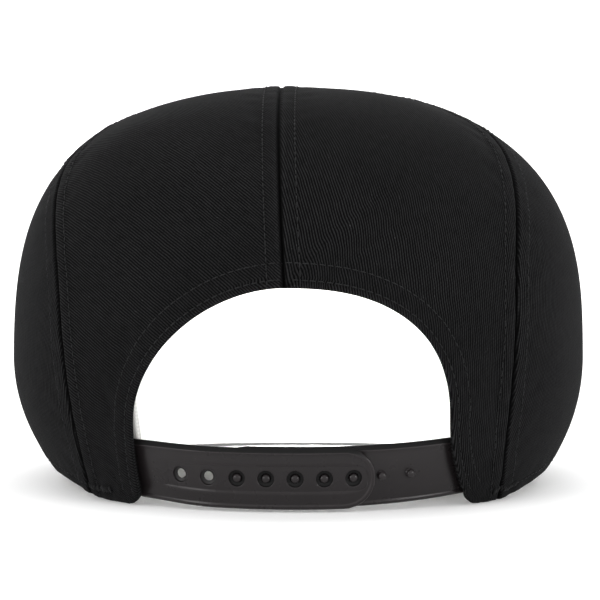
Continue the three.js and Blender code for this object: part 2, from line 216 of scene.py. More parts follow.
def waviness(points, seed, waves=9, shortest=26.0, longest=85.0):
    """Sum of plane waves in space with directions, lengths and phases drawn from the seed."""
    draw = np.random.RandomState(seed)
    total = np.zeros(points.shape[:-1])
    for _ in range(waves):
        way = unit(draw.normal(size=3))
        span = draw.uniform(shortest, longest)
        total += np.sin(2 * np.pi * (points @ way) / span + draw.uniform(0, 2 * np.pi)) * span / longest
    return total / waves ** 0.5


# ---- The crown's surface ----

def section_at(z):
    """Level section at a height: half width, reach to the back and to the front, and sideways lean."""
    up = np.clip((z - CROWN_FULL) / (CROWN_TOP - CROWN_FULL), 0, 1)
    down = np.maximum(CROWN_FULL - z, 0) / CROWN_FULL

    def dome(power, rounding):
        return np.maximum(1 - up ** power, TINY) ** rounding

    def tuck(hem, full):
        return np.sqrt(np.maximum(1 - (1 - (hem / full) ** 2) * down ** 2, TINY))

    return (
        CROWN_HALF * dome(SIDE_POWER, SIDE_ROUND) * tuck(HEM_HALF, CROWN_HALF),
        CROWN_BACK * dome(FORE_POWER, FORE_ROUND) * tuck(HEM_BACK, CROWN_BACK),
        CROWN_FRONT * dome(FORE_POWER, FORE_ROUND) * tuck(HEM_FRONT, CROWN_FRONT),
        CROWN_LEAN * (z - CROWN_FULL) / (CROWN_TOP - CROWN_FULL),
    )


def crown_value(p):
    """Superellipse value of a point in its own level section: below 1 inside the crown, above 1 outside."""
    half, back, front, lean = section_at(p[..., 2])
    reach = np.where(p[..., 1] > 0, back, front)
    value = np.abs((p[..., 0] - lean) / half) ** PLAN_POWER + np.abs(p[..., 1] / reach) ** PLAN_POWER
    return np.where(p[..., 2] >= CROWN_TOP, np.inf, value)


def crown_point(way, steps=38):
    """Where rays from the crown's centre leave the crown, by halving."""
    inner = np.zeros(way.shape[:-1])
    outer = np.full(way.shape[:-1], CROWN_HALF + CROWN_BACK + CROWN_FRONT)
    for _ in range(steps):
        middle = (inner + outer) / 2
        beyond = crown_value(CENTRE + way * middle[..., None]) > 1
        outer = np.where(beyond, middle, outer)
        inner = np.where(beyond, inner, middle)
    return CENTRE + way * inner[..., None]


def crown_normal(p, nudge=0.002):
    """Outward normal: the cross product of two short chords along the surface."""
    out = unit(p - CENTRE)
    sideways = np.stack([out[..., 1], -out[..., 0], np.zeros_like(out[..., 0])], -1)
    sideways = np.where(length(sideways)[..., None] < 0.01, np.array([1.0, 0, 0]), sideways)
    sideways = unit(sideways)
    upward = np.cross(sideways, out)

    def chord(axis):
        return crown_point(unit(out + axis * nudge)) - crown_point(unit(out - axis * nudge))

    normal = unit(np.cross(chord(sideways), chord(upward)))
    return np.where((normal * out).sum(-1)[..., None] < 0, -normal, normal)


def crown_at(turn, z):
    """Point of the crown at a turn and a height."""
    half, back, front, lean = section_at(z)
    sine, cosine = np.sin(np.radians(turn)), np.cos(np.radians(turn))
    reach = np.where(cosine > 0, back, front)
    total = np.abs(sine / half) ** PLAN_POWER + np.abs(cosine / reach) ** PLAN_POWER
    radius = total ** (-1 / PLAN_POWER)
    return np.stack(np.broadcast_arrays(lean + radius * sine, radius * cosine, z), -1)


def back_at(x, z):
    """Point of the crown's back seen at x and z from behind."""
    half, back, _, lean = section_at(z)
    share = np.maximum(1 - np.abs((x - lean) / half) ** PLAN_POWER, TINY)
    return np.stack(np.broadcast_arrays(x, back * share ** (1 / PLAN_POWER), z), -1)


def turn_of(p):
    return np.degrees(np.arctan2(p[..., 0], p[..., 1]))


def hem_height(turn):
    """Height of the hem at a turn: flat behind, raised over the ears, and bent with the peak in front."""
    turn = np.asarray(turn, float)
    away = np.abs((turn + 180) % 360 - 180)
    across = crown_at(away, TEMPLE_RISE)[..., 0] / crown_at(FRONT_SEAM_TURN, TEMPLE_RISE)[..., 0]
    over_ear = EAR_RISE * ease(away, HEM_BACK_TURN, HEM_EAR_TURN)
    to_temple = ease(away, HEM_SIDE_TURN, FRONT_SEAM_TURN)
    behind = lerp(np.maximum(over_ear - HEM_PRESS, 0), TEMPLE_RISE, to_temple)
    return np.where(away > FRONT_SEAM_TURN, lerp(FRONT_RISE, TEMPLE_RISE, across ** 2), behind)


def hem_at(turn):
    return crown_at(turn, hem_height(turn))


def button_place():
    """Point of the crown above the button's x and y, by halving the height."""
    low, high = CROWN_FULL, CROWN_TOP
    for _ in range(48):
        middle = (low + high) / 2
        if crown_value(np.array([SEAM_SHIFT, -BUTTON_FORWARD, middle])) > 1:
            high = middle
        else:
            low = middle
    return np.array([SEAM_SHIFT, -BUTTON_FORWARD, low])


BUTTON = button_place()
POLE = unit(BUTTON - CENTRE)
POLE_BACK = unit(np.array([0, 1.0, 0]) - POLE * POLE[1])
POLE_LEFT = np.cross(POLE_BACK, POLE)


def to_chart(p):
    """Flat chart of the crown round the button: the distance is the angle from the button."""
    out = unit(p - CENTRE)
    angle = np.arccos(np.clip(out @ POLE, -1, 1))
    flat = np.stack([out @ POLE_LEFT, out @ POLE_BACK], -1)
    return unit(flat) * angle[..., None]


def from_chart(v):
    angle = length(v)[..., None]
    across = unit(v[..., :1] * POLE_LEFT + v[..., 1:] * POLE_BACK)
    return crown_point(POLE * np.cos(angle) + across * np.sin(angle))


def down_seam(foot, share):
    """Point of the chart at a share of the straight way from the button's hole to a foot on the hem."""
    hole = BUTTON_HOLE / length(BUTTON - CENTRE)
    return foot * lerp(hole / length(foot), 1, share)[..., None]


def down_side_seam(foot, share):
    """The same for a side seam: it turns by a half sine of the share, in a long S, and back at the hem."""
    phase = np.clip((share - SEAM_WAVE_MIDDLE) / SEAM_WAVE_RUN, -1, 1)
    wave = np.sin(phase * np.pi / 2) * (1 - share ** SEAM_WAVE_FADE)
    turn = np.sign(foot[..., 0]) * np.radians(SEAM_WAVE_TURN) * wave
    x, y = np.moveaxis(down_seam(foot, share), -1, 0)
    return np.stack([x * np.cos(turn) - y * np.sin(turn), x * np.sin(turn) + y * np.cos(turn)], -1)


def arch_edge(side, round_rows=60, leg_rows=14, corner_rows=8):
    """Arch edge on one side, seen from behind: a superellipse quarter, a leg that bends, a round corner."""
    reach, power, foot = ARCH_REACH[side], ARCH_POWER[side], ARCH_FOOT[side]
    angle = np.linspace(0, np.pi / 2, round_rows + 1)
    x = reach * np.sin(angle) ** (2 / power)
    z = lerp(ARCH_WIDEST, ARCH_TOP, np.maximum(np.cos(angle), 0) ** (2 / power))
    share = np.linspace(0, 1, leg_rows + 1)[1:]
    leg_x, leg_z = reach + foot * share ** 2, lerp(ARCH_WIDEST, ARCH_CORNER, share)
    angle = np.linspace(0, np.pi / 2, corner_rows + 1)[1:]
    corner_x = reach + foot + ARCH_CORNER * (1 - np.cos(angle))
    drop = hem_height(turn_of(back_at(SEAM_SHIFT + side * corner_x, ARCH_CORNER)))
    corner_z = lerp(ARCH_CORNER, drop, np.sin(angle))
    x = np.concatenate([x, leg_x, corner_x])
    z = np.concatenate([z, leg_z, corner_z])
    return np.stack([SEAM_SHIFT + side * x, z], -1)


# ---- Seams, and how the sewing shapes the cloth ----

SEAM_ROW = 5.0
ARCH_INNER_ROW = 2.1
ARCH_OUTER_ROW = (6.0, 7.4)
ARCH_OUTER_FROM = (25.0, 60.0)
HEM_ROW = 4.8
ALLOWANCE_RISE = 0.42
CREASE_DEPTH = 1.15
CREASE_WIDTH = 0.6
ROW_DENT = 0.34
ROW_DENT_WIDTH = 0.75
ROLL_RADIUS = 1.3
ROLL_DROP = 0.85
HEM_ROLL = 0.6
WAVE_RISE = 0.42
STRIP_RISE = 0.34

# Puckers and drag folds along the sewing: height, wavelengths, distance from the edge and width
SEAM_PUCKER = (0.16, (5.6, 8.4, 13.0), 3.0, 3.2)
SEAM_DRAG = (0.22, (9.0, 15.0, 24.0), 8.0, 4.5)
ARCH_PUCKER = (0.2, (4.8, 7.5, 12.0), 4.4, 2.6)
ARCH_DRAG = (0.42, (8.0, 13.5, 21.0), 3.6, 3.6)
HEM_PUCKER = (0.2, (6.5, 10.5, 17.0), 6.0, 4.5)

# Where sewing rubs the cloth, and how wide the painted shade of a seam's crease is
RUB_PLACE = 1.3
RUB_WIDTH = 0.8
ARCH_RUB_WIDTH = 1.0
HEM_RUB_WIDTH = 1.2
CREASE_SHADE_WIDTH = 0.7


def resampled(curve, step):
    """The same polyline with its points an even step apart."""
    along = np.concatenate([[0], np.cumsum(length(np.diff(curve, axis=0)))])
    at = np.linspace(0, along[-1], max(int(round(along[-1] / step)), 1) + 1)
    return np.stack([np.interp(at, along, curve[:, k]) for k in range(curve.shape[1])], -1)


def seam_curve(foot, way=down_seam):
    """A seam from the button down to a point of the hem, 2 mm between points."""
    share = np.linspace(0, 1, 240)
    return resampled(from_chart(way(np.broadcast_to(to_chart(foot), (240, 2)), share)), 2.0)


def arch_curve(side, **rows):
    edge = arch_edge(side, **rows)
    return back_at(edge[:, 0], edge[:, 1])


def heel_turn(side):
    return float(turn_of(arch_curve(side)[-1]))


SEAMS = {
    "back": seam_curve(back_at(np.float64(SEAM_SHIFT), np.float64(ARCH_TOP))),
    "side_left": seam_curve(hem_at(LEFT_SEAM_TURN), down_side_seam),
    "side_right": seam_curve(hem_at(-RIGHT_SEAM_TURN), down_side_seam),
    "front_left": seam_curve(hem_at(FRONT_SEAM_TURN)),
    "front_right": seam_curve(hem_at(-FRONT_SEAM_TURN)),
}
ARCH = resampled(np.concatenate([arch_curve(1)[::-1], arch_curve(-1)[1:]]), 1.6)
HEM = resampled(hem_at(np.linspace(heel_turn(1), 360 + heel_turn(-1), 700)), 2.4)

# Long shallow folds of the back panels: from x, z to x, z seen from behind, width and depth
FOLDS = np.array([
    (50.0, 57.0, 56.5, 44.0, 2.6, 0.75),
    (57.5, 40.0, 59.5, 24.0, 2.2, 0.45),
    (61.0, 30.0, 57.0, 8.0, 2.4, 0.5),
    (-58.0, 52.0, -62.5, 33.0, 2.6, 0.55),
    (-60.5, 38.0, -61.0, 12.0, 1.9, 0.6),
    (-66.5, 30.0, -64.0, 7.0, 1.8, 0.5),
    (24.0, 92.0, 52.0, 84.0, 7.0, 0.45),
    (-20.0, 98.0, -50.0, 88.0, 8.0, 0.5),
    (34.0, 112.0, 62.0, 100.0, 6.0, 0.5),
    (-40.0, 110.0, -66.0, 96.0, 6.0, 0.4),
])


def to_curve(points, curve, chunk=3000):
    """Distance from each point to a polyline, and the length along it to the nearest place."""
    start, step = curve[:-1], np.diff(curve, axis=0)
    span = np.maximum(length(step), TINY)
    before = np.concatenate([[0], np.cumsum(span)[:-1]])
    flat = points.reshape(-1, points.shape[-1])
    distance, along = np.empty(len(flat)), np.empty(len(flat))
    for first in range(0, len(flat), chunk):
        offset = flat[first:first + chunk, None] - start[None]
        share = np.clip((offset * step).sum(-1) / span ** 2, 0, 1)
        gap = length(offset - share[..., None] * step)
        nearest = gap.argmin(1)
        pick = np.arange(len(nearest))
        distance[first:first + chunk] = gap[pick, nearest]
        along[first:first + chunk] = before[nearest] + share[pick, nearest] * span[nearest]
    return distance.reshape(points.shape[:-1]), along.reshape(points.shape[:-1])


def puckered(along, distance, seed, kind):
    """Puckers along an edge: a height times a sum of sines along it, times a bell across."""
    height, waves, place, width = kind
    return height * ripple(along, seed, waves) * bell(distance - place, width)


def row_dent(distance, along, row, pitch):
    """Dent of a row of stitches: a bell across it, deeper at each needle hole."""
    return ROW_DENT * bell(distance - row, ROW_DENT_WIDTH) * (0.72 + 0.28 * np.cos(2 * np.pi * along / pitch))


def seam_relief(distance, along, seed, pitch):
    """A seam: a crease at the joint, a strip raised over the allowance, a dented row and soft puckers."""
    crease = CREASE_DEPTH * bell(distance, CREASE_WIDTH)
    raised = ALLOWANCE_RISE * (1 - ease(distance, 4.5, 6.6))
    pucker = puckered(along, distance, seed, SEAM_PUCKER)
    drag = puckered(along + distance * 0.6, distance, seed + 50, SEAM_DRAG)
    return raised - crease - row_dent(distance, along, SEAM_ROW, pitch) + pucker + drag


def arch_rows(z):
    """Distances of the two rows from the arch's edge at a height: the outer one is nearer at the legs."""
    outer = lerp(*ARCH_OUTER_ROW, ease(z, *ARCH_OUTER_FROM))
    return np.full(np.shape(z), ARCH_INNER_ROW), outer


def edge_roll(distance):
    """A folded edge: the surface drops along a quarter round."""
    t = np.clip(1 - distance / ROLL_RADIUS, 0, 1)
    return -ROLL_DROP * (1 - np.sqrt(np.maximum(1 - t * t, 0)))


def arch_relief(distance, along, z, pitch):
    """The arch's hem: a rolled edge, a strip raised over the facing between two dented rows, drag folds."""
    rows = arch_rows(z)
    raised = STRIP_RISE * (1 - ease(distance - rows[1], -0.4, 1.6))
    dents = sum(row_dent(distance, along, row, pitch) for row in rows)
    pucker = puckered(along, distance, 71, ARCH_PUCKER)
    drag = puckered(along - distance * 0.8, distance - rows[1], 72, ARCH_DRAG)
    return raised - dents + edge_roll(distance) + pucker + drag


def hem_relief(distance, along, pitch):
    """The hem: a rolled edge and one dented row with soft puckers."""
    pucker = puckered(along, distance, 91, HEM_PUCKER)
    return HEM_ROLL * edge_roll(distance) - row_dent(distance, along, HEM_ROW, pitch) + pucker


def fold_relief(points):
    """Long folds of the back: a bell across each, fading at both ends, only behind the crown's middle."""
    total = np.zeros(points.shape[:-1])
    seen = points[..., [0, 2]]
    for x0, z0, x1, z1, width, depth in FOLDS:
        start, way = np.array([x0, z0]), np.array([x1 - x0, z1 - z0])
        share = ((seen - start) @ way) / (way @ way)
        gap = length(seen - start - share[..., None] * way)
        total -= depth * bell(gap, width) * bell(share - 0.5, 0.42)
    return total * ease(points[..., 1], 5.0, 25.0)


def crown_relief(points, seams, arch, pitch):
    """How far the sewn cloth stands out of the crown, in mm, its worn edges and the painted shade of its
    seams' creases.
    """
    total = WAVE_RISE * waviness(points, 5) + fold_relief(points)
    wear = np.zeros(points.shape[:-1])
    crease = np.zeros(points.shape[:-1])
    for name in seams:
        distance, along = to_curve(points, SEAMS[name])
        total = total + seam_relief(distance, along, 11 + sum(map(ord, name)) % 97, pitch)
        wear = np.maximum(wear, bell(distance - RUB_PLACE, RUB_WIDTH) * 0.8)
        # Painted shade: the crease mark darkens the cloth along each seam's joint
        crease = np.maximum(crease, bell(distance, CREASE_SHADE_WIDTH))
    if arch:
        distance, along = to_curve(points, ARCH)
        total = total + arch_relief(distance, along, points[..., 2], pitch)
        wear = np.maximum(wear, bell(distance, ARCH_RUB_WIDTH))
    distance, along = to_curve(points, HEM)
    total = total + hem_relief(distance, along, pitch)
    wear = np.maximum(wear, bell(distance, HEM_RUB_WIDTH))
    return total, wear, crease


# ---- Grids of cloth ----

def fanned_grid(from_turn, to_turn, down, across, setback=SEAM_GAP, waved=False):
    """Panel between two turns of the hem: straight lines in the chart up to the button.

    A waved one takes on the side seam's wave by and by, from its first edge to its last.
    """
    def chart(share):
        foot = to_chart(hem_at(lerp(from_turn, to_turn, share)))
        way = np.broadcast_to(down[:, None], share.shape)
        if not waved:
            return down_seam(foot, way)
        seam_foot = np.broadcast_to(to_chart(hem_at(to_turn)), foot.shape)
        pull = down_side_seam(seam_foot, way) - down_seam(seam_foot, way)
        return down_seam(foot, way) + pull * share[..., None]

    rows = len(down)
    ends = from_chart(chart(np.broadcast_to(np.array([0.0, 1.0]), (rows, 2))))
    margin = setback / length(ends[:, 1] - ends[:, 0])
    return from_chart(chart(lerp(margin[:, None], 1 - margin[:, None], across[None])))


def back_grid(side, across, seam_rows=90):
    """Back panel: from the back seam and the arch's edge across to the side seam."""
    edge = arch_edge(side)
    edge_charts = to_chart(back_at(edge[:, 0], edge[:, 1]))
    seam = down_seam(np.broadcast_to(edge_charts[0], (seam_rows, 2)), np.linspace(0, 1, seam_rows + 1)[:-1])
    inner = np.concatenate([seam, edge_charts])
    count = len(inner) - 1
    side_turn = LEFT_SEAM_TURN if side > 0 else -RIGHT_SEAM_TURN
    heel = heel_turn(side)
    share = np.arange(count + 1) / count
    weight = np.maximum((np.arange(count + 1) - seam_rows) / (count - seam_rows), 0) ** 2

    def chart(at):
        hem = to_chart(hem_at(lerp(heel, side_turn, at)))
        foot = to_chart(hem_at(side_turn))
        outer = down_side_seam(np.broadcast_to(foot, (count + 1, 2)), share)
        flat = lerp(inner[:, None], outer[:, None], at[..., None])
        straight = lerp(inner[-1], foot, at[..., None])
        return flat + (hem - straight) * weight[:, None, None]

    ends = from_chart(chart(np.broadcast_to(np.array([0.0, 1.0]), (count + 1, 2))))
    margin = SEAM_GAP / length(ends[:, 1] - ends[:, 0])
    return from_chart(chart(lerp(margin[:, None], 1 - margin[:, None], across[None])))


def flattened(points, view, rounds=700, most=24):
    """Lays a curved grid of cloth flat, as it was cut, in mm.

    Springs along the rows, the columns and both diagonals of a coarse grid pull to the lengths they
    have on the crown; the result is turned to match the given view, weighed by how squarely each part
    faces it, and spread over the fine grid.
    """
    rows = np.unique(np.linspace(0, points.shape[0] - 1, most).round().astype(int))
    columns = np.unique(np.linspace(0, points.shape[1] - 1, most).round().astype(int))
    coarse = points[np.ix_(rows, columns)]
    middle = len(columns) // 2
    across = np.concatenate([np.zeros((len(rows), 1)), np.cumsum(length(np.diff(coarse, axis=1)), axis=1)], 1)
    across = across - across[:, middle:middle + 1]
    down = np.concatenate([[0], np.cumsum(length(np.diff(coarse[:, middle], axis=0)))])
    flat = np.stack([across, np.broadcast_to(down[:, None], across.shape)], -1)
    pairs = []
    for row_step, column_step in ((0, 1), (1, 0), (1, 1), (1, -1)):
        last_row, last_column = len(rows) - row_step, len(columns) - abs(column_step)
        shift = max(-column_step, 0)
        a = (slice(0, last_row), slice(shift, shift + last_column))
        b = (slice(row_step, None), slice(shift + column_step, shift + column_step + last_column))
        pairs.append((a, b, length(coarse[b] - coarse[a])))
    for _ in range(rounds):
        push = np.zeros_like(flat)
        for a, b, rest in pairs:
            gap = flat[b] - flat[a]
            span = np.maximum(length(gap), TINY)
            move = gap * ((span - rest) / span * 0.16)[..., None]
            push[a] += move
            push[b] -= move
        flat = flat + push
    target = coarse @ view.T
    facing = np.clip(np.abs(crown_normal(coarse) @ np.cross(view[0], view[1])), 0, 1)[..., None] ** 4
    centred = flat - (flat * facing).sum((0, 1)) / facing.sum()
    goal = target - (target * facing).sum((0, 1)) / facing.sum()
    u, _, vt = np.linalg.svd((centred * facing).reshape(-1, 2).T @ goal.reshape(-1, 2))
    centred = centred @ (u @ vt)
    fine_rows, fine_columns = np.arange(points.shape[0]), np.arange(points.shape[1])
    wide = np.stack([
        np.stack([np.interp(fine_columns, columns, row) for row in centred[..., k]]) for k in (0, 1)
    ], -1)
    return np.stack([
        np.stack([np.interp(fine_rows, rows, wide[:, c, k]) for c in fine_columns], 1) for k in (0, 1)
    ], -1)


def turned(flat, degrees):
    """Turns flat cloth so that its twill lines, which run at an angle in the view, run along v."""
    sine, cosine = math.sin(math.radians(degrees)), math.cos(math.radians(degrees))
    u, v = flat[..., 0], flat[..., 1]
    return np.stack([v * cosine - u * sine, u * cosine + v * sine], -1)


# ---- Meshes ----

def placed(points):
    """Millimetres in the cap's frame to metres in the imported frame."""
    return (points + SHIFT) * METRE


def grid_faces(rows, columns, first=0, wrap=False):
    """Quads of a grid whose points are numbered row by row from first; wrap closes each row."""
    index = first + np.arange(rows * columns).reshape(rows, columns)
    if wrap:
        index = np.concatenate([index, index[:, :1]], 1)
    return np.stack([index[:-1, :-1], index[1:, :-1], index[1:, 1:], index[:-1, 1:]], -1).reshape(-1, 4)


def strip_faces(a, b):
    """Quads between two lines of point numbers."""
    return np.stack([a[:-1], b[:-1], b[1:], a[1:]], -1)


def shell_faces(rows, columns):
    """Quads of a closed body between two grids: both sheets and the four narrow sides."""
    outer = np.arange(rows * columns).reshape(rows, columns)
    inner = outer + rows * columns
    return np.concatenate([
        grid_faces(rows, columns),
        grid_faces(rows, columns, rows * columns)[:, ::-1],
        strip_faces(inner[0], outer[0]),
        strip_faces(outer[-1], inner[-1]),
        strip_faces(outer[:, 0], inner[:, 0]),
        strip_faces(inner[:, -1], outer[:, -1]),
    ])


def volume_sign(points, faces):
    """Sign of the enclosed volume: the sum over triangles of a . (b x c)."""
    a, b, c = (points[faces[:, k]] for k in (0, 1, 2))
    total = np.einsum("ij,ij->i", a, np.cross(b, c)).sum()
    if faces.shape[1] == 4:
        d = points[faces[:, 3]]
        total += np.einsum("ij,ij->i", a, np.cross(c, d)).sum()
    return 1 if total > 0 else -1


def build(name, points, faces, material, uv=None, marks=None, merge=0.0):
    """Makes a piece from millimetre points and faces, with a flat map in metres and named marks.

    faces is one array or a list of arrays of quads and triangles; each closed body given points out.
    """
    mesh = bpy.data.meshes.new(name)
    sets = faces if isinstance(faces, list) else [faces]
    mesh.from_pydata(placed(points).tolist(), [], [face for one in sets for face in one.tolist()])
    mesh.polygons.foreach_set("use_smooth", np.ones(len(mesh.polygons), bool))
    if uv is not None:
        loops = np.empty(len(mesh.loops), np.int32)
        mesh.loops.foreach_get("vertex_index", loops)
        layer = mesh.uv_layers.new(name="cloth")
        layer.data.foreach_set("uv", (uv[loops] * METRE).astype(np.float32).ravel())
    for mark, values in (marks or {}).items():
        attribute = mesh.attributes.new(mark, "FLOAT", "POINT")
        attribute.data.foreach_set("value", values.astype(np.float32).ravel())
    if merge:
        work = bmesh.new()
        work.from_mesh(mesh)
        bmesh.ops.remove_doubles(work, verts=work.verts, dist=merge * METRE)
        work.to_mesh(mesh)
        work.free()
    mesh.validate()
    mesh.update()
    mesh.materials.append(material)
    piece = bpy.data.objects.new(name, mesh)
    bpy.context.scene.collection.objects.link(piece)
    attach(piece, "root")
    return piece


def shell(name, outer, inner, material, uv, marks=None):
    """A closed sheet of cloth between two grids of points."""
    rows, columns = outer.shape[:2]
    points = np.concatenate([outer.reshape(-1, 3), inner.reshape(-1, 3)])
    faces = shell_faces(rows, columns)
    if volume_sign(points - points.mean(0), faces) < 0:
        faces = faces[:, ::-1]
    flat = np.concatenate([uv.reshape(-1, 2)] * 2)
    doubled = {k: np.concatenate([v.ravel(), v.ravel()]) for k, v in (marks or {}).items()}
    return build(name, points, faces, material, flat, doubled)


def lathe(profile, centre, axis, sides):
    """Points and faces of a turned body: pairs of radius and height carried round an axis, with two poles."""
    axis = unit(axis)
    side = unit(np.cross(axis, np.array([0.0, 0.0, 1.0]) if abs(axis[2]) < 0.9 else np.array([1.0, 0, 0])))
    other = np.cross(axis, side)
    angle = np.arange(sides) * 2 * np.pi / sides
    ring = np.cos(angle)[:, None] * side + np.sin(angle)[:, None] * other
    inner = np.array(profile[1:-1], float)
    points = centre + inner[:, 0, None, None] * ring[None] + inner[:, 1, None, None] * axis
    points = points.reshape(-1, 3)
    poles = np.stack([centre + profile[0][1] * axis, centre + profile[-1][1] * axis])
    count = len(inner)
    quads = grid_faces(count, sides, wrap=True)
    index = np.arange(sides)
    after = np.roll(index, -1)
    low, high = len(points), len(points) + 1
    start = np.stack([np.full(sides, low), index, after], -1)
    last = (count - 1) * sides
    end = np.stack([np.full(sides, high), last + after, last + index], -1)
    points = np.concatenate([points, poles])
    if volume_sign(points - centre, quads) < 0:
        return points, quads[:, ::-1], np.concatenate([start, end])[:, ::-1]
    return points, quads, np.concatenate([start, end])


# ---- Stitches ----

THREAD_FLATNESS = 0.85


def offset_path(curve, distance, side):
    """A line on the crown at a distance to one side of a curve on it."""
    normal = crown_normal(curve)
    along = unit(np.gradient(curve, axis=0))
    moved = curve + np.cross(normal, along) * distance * side
    return resampled(crown_point(unit(moved - CENTRE)), 0.8)


def row_ends(path, pitch, gap, draw):
    """Start and end of each stitch of a row: even steps along the path, with a little unevenness."""
    along = np.concatenate([[0], np.cumsum(length(np.diff(path, axis=0)))])
    count = max(int(along[-1] // pitch), 1)
    start = (np.arange(count) + 0.5) * along[-1] / count - (pitch - gap) / 2
    start = start + draw.uniform(-0.06, 0.06, count) * pitch
    end = start + (pitch - gap) * draw.uniform(0.93, 1.05, count)

    def at(s):
        return np.stack([np.interp(s, along, path[:, k]) for k in range(3)], -1)

    return at(start), at(end)


def stitch_mesh(start, end, normal, radius, rings=6, sides=6):
    """Points and faces of many stitches at once.

    Each is a round thread from start to end: its height above the cloth and its thickness follow
    the square root of a half sine, so both ends dive into the cloth, and it closes at two poles.
    """
    count = len(start)
    along = unit(end - start)
    across = np.cross(normal, along)
    share = np.linspace(0, 1, rings)
    swell = np.sqrt(np.sin(np.pi * (0.08 + 0.84 * share)))
    rise = radius * (1.5 * swell - 0.95)
    middle = start[:, None] + (end - start)[:, None] * share[None, :, None]
    middle = middle + normal[:, None] * rise[None, :, None]
    angle = np.arange(sides) * 2 * np.pi / sides
    ring = across[:, None, None] * np.cos(angle)[:, None]
    ring = ring + normal[:, None, None] * np.sin(angle)[:, None] * THREAD_FLATNESS
    tube = middle[:, :, None] + ring * (radius * swell)[None, :, None, None]
    poles = np.stack([start - normal * radius * 0.9, end - normal * radius * 0.9], 1)
    per = rings * sides + 2
    points = np.concatenate([tube.reshape(count, -1, 3), poles], 1).reshape(-1, 3)
    quads = grid_faces(rings, sides, wrap=True)
    index, after = np.arange(sides), np.roll(np.arange(sides), -1)
    first_cap = np.stack([np.full(sides, per - 2), after, index], -1)[:, ::-1]
    last = (rings - 1) * sides
    last_cap = np.stack([np.full(sides, per - 1), last + index, last + after], -1)[:, ::-1]
    one = points[:per]
    if volume_sign(one - one.mean(0), quads) < 0:
        quads = quads[:, ::-1]
    caps = np.concatenate([first_cap, last_cap])
    if volume_sign(one - one.mean(0), caps) < 0:
        caps = caps[:, ::-1]
    step = (np.arange(count) * per)[:, None, None]
    uv = np.stack([np.tile(np.arange(sides) / sides, rings), np.repeat(share, sides)], -1)
    uv = np.concatenate([uv, [[0, 0], [0, 1]]])
    spans = length(end - start)
    uv = np.concatenate([
        np.broadcast_to(uv[:, 0] * 2 * np.pi * radius, (count, per))[..., None],
        (uv[:, 1] * spans[:, None])[..., None],
    ], -1).reshape(-1, 2)
    return points, (quads[None] + step).reshape(-1, 4), (caps[None] + step).reshape(-1, 3), uv


# ---- Shader nodes ----

def node(tree, kind, inputs=None, **settings):
    """Adds a node, sets its properties and sets or links its inputs by name or number."""
    made = tree.nodes.new(kind)
    for key, value in settings.items():
        setattr(made, key, value)
    for key, value in (inputs or {}).items():
        if isinstance(value, bpy.types.NodeSocket):
            tree.links.new(value, made.inputs[key])
        else:
            made.inputs[key].default_value = value
    return made


def calc(tree, operation, a, b=0.0, c=0.0):
    """The result of one math node."""
    return node(tree, "ShaderNodeMath", {0: a, 1: b, 2: c}, operation=operation).outputs[0]


def ranged(tree, value, low, high, to_low=0.0, to_high=1.0, smooth=False):
    """A value brought from one range to another, and kept inside it."""
    return node(
        tree, "ShaderNodeMapRange",
        {"Value": value, "From Min": low, "From Max": high, "To Min": to_low, "To Max": to_high},
        interpolation_type="SMOOTHSTEP" if smooth else "LINEAR",
    ).outputs["Result"]


def noise(tree, vector, scale, detail=2.0, roughness=0.5, distortion=0.0):
    return node(
        tree, "ShaderNodeTexNoise",
        {"Vector": vector, "Scale": scale, "Detail": detail, "Roughness": roughness,
         "Distortion": distortion},
    ).outputs["Fac"]


def wave_of(tree, turns):
    """The sine of a number of turns, brought to run from 0 to 1."""
    sine = calc(tree, "SINE", calc(tree, "MULTIPLY", turns, 2 * math.pi))
    return calc(tree, "MULTIPLY_ADD", sine, 0.5, 0.5)


def group(name, inputs, outputs, body):
    """Makes a shader node group once; body fills it and returns the values of its outputs."""
    if name in bpy.data.node_groups:
        return bpy.data.node_groups[name]
    tree = bpy.data.node_groups.new(name, "ShaderNodeTree")
    for label, kind, default in inputs:
        socket = tree.interface.new_socket(label, in_out="INPUT", socket_type=kind)
        if default is not None:
            socket.default_value = default
    for label, kind in outputs:
        tree.interface.new_socket(label, in_out="OUTPUT", socket_type=kind)
    entry, leave = tree.nodes.new("NodeGroupInput"), tree.nodes.new("NodeGroupOutput")
    for label, value in body(tree, entry.outputs).items():
        tree.links.new(value, leave.inputs[label])
    return tree


def use_group(tree, made, inputs):
    return node(tree, "ShaderNodeGroup", inputs, node_tree=made).outputs


FLOAT, VECTOR = "NodeSocketFloat", "NodeSocketVector"
# Thick places of a yarn: how often they come across it and along it, for each metre
SLUB_SCALE = (1300.0, 260.0, 1.0)


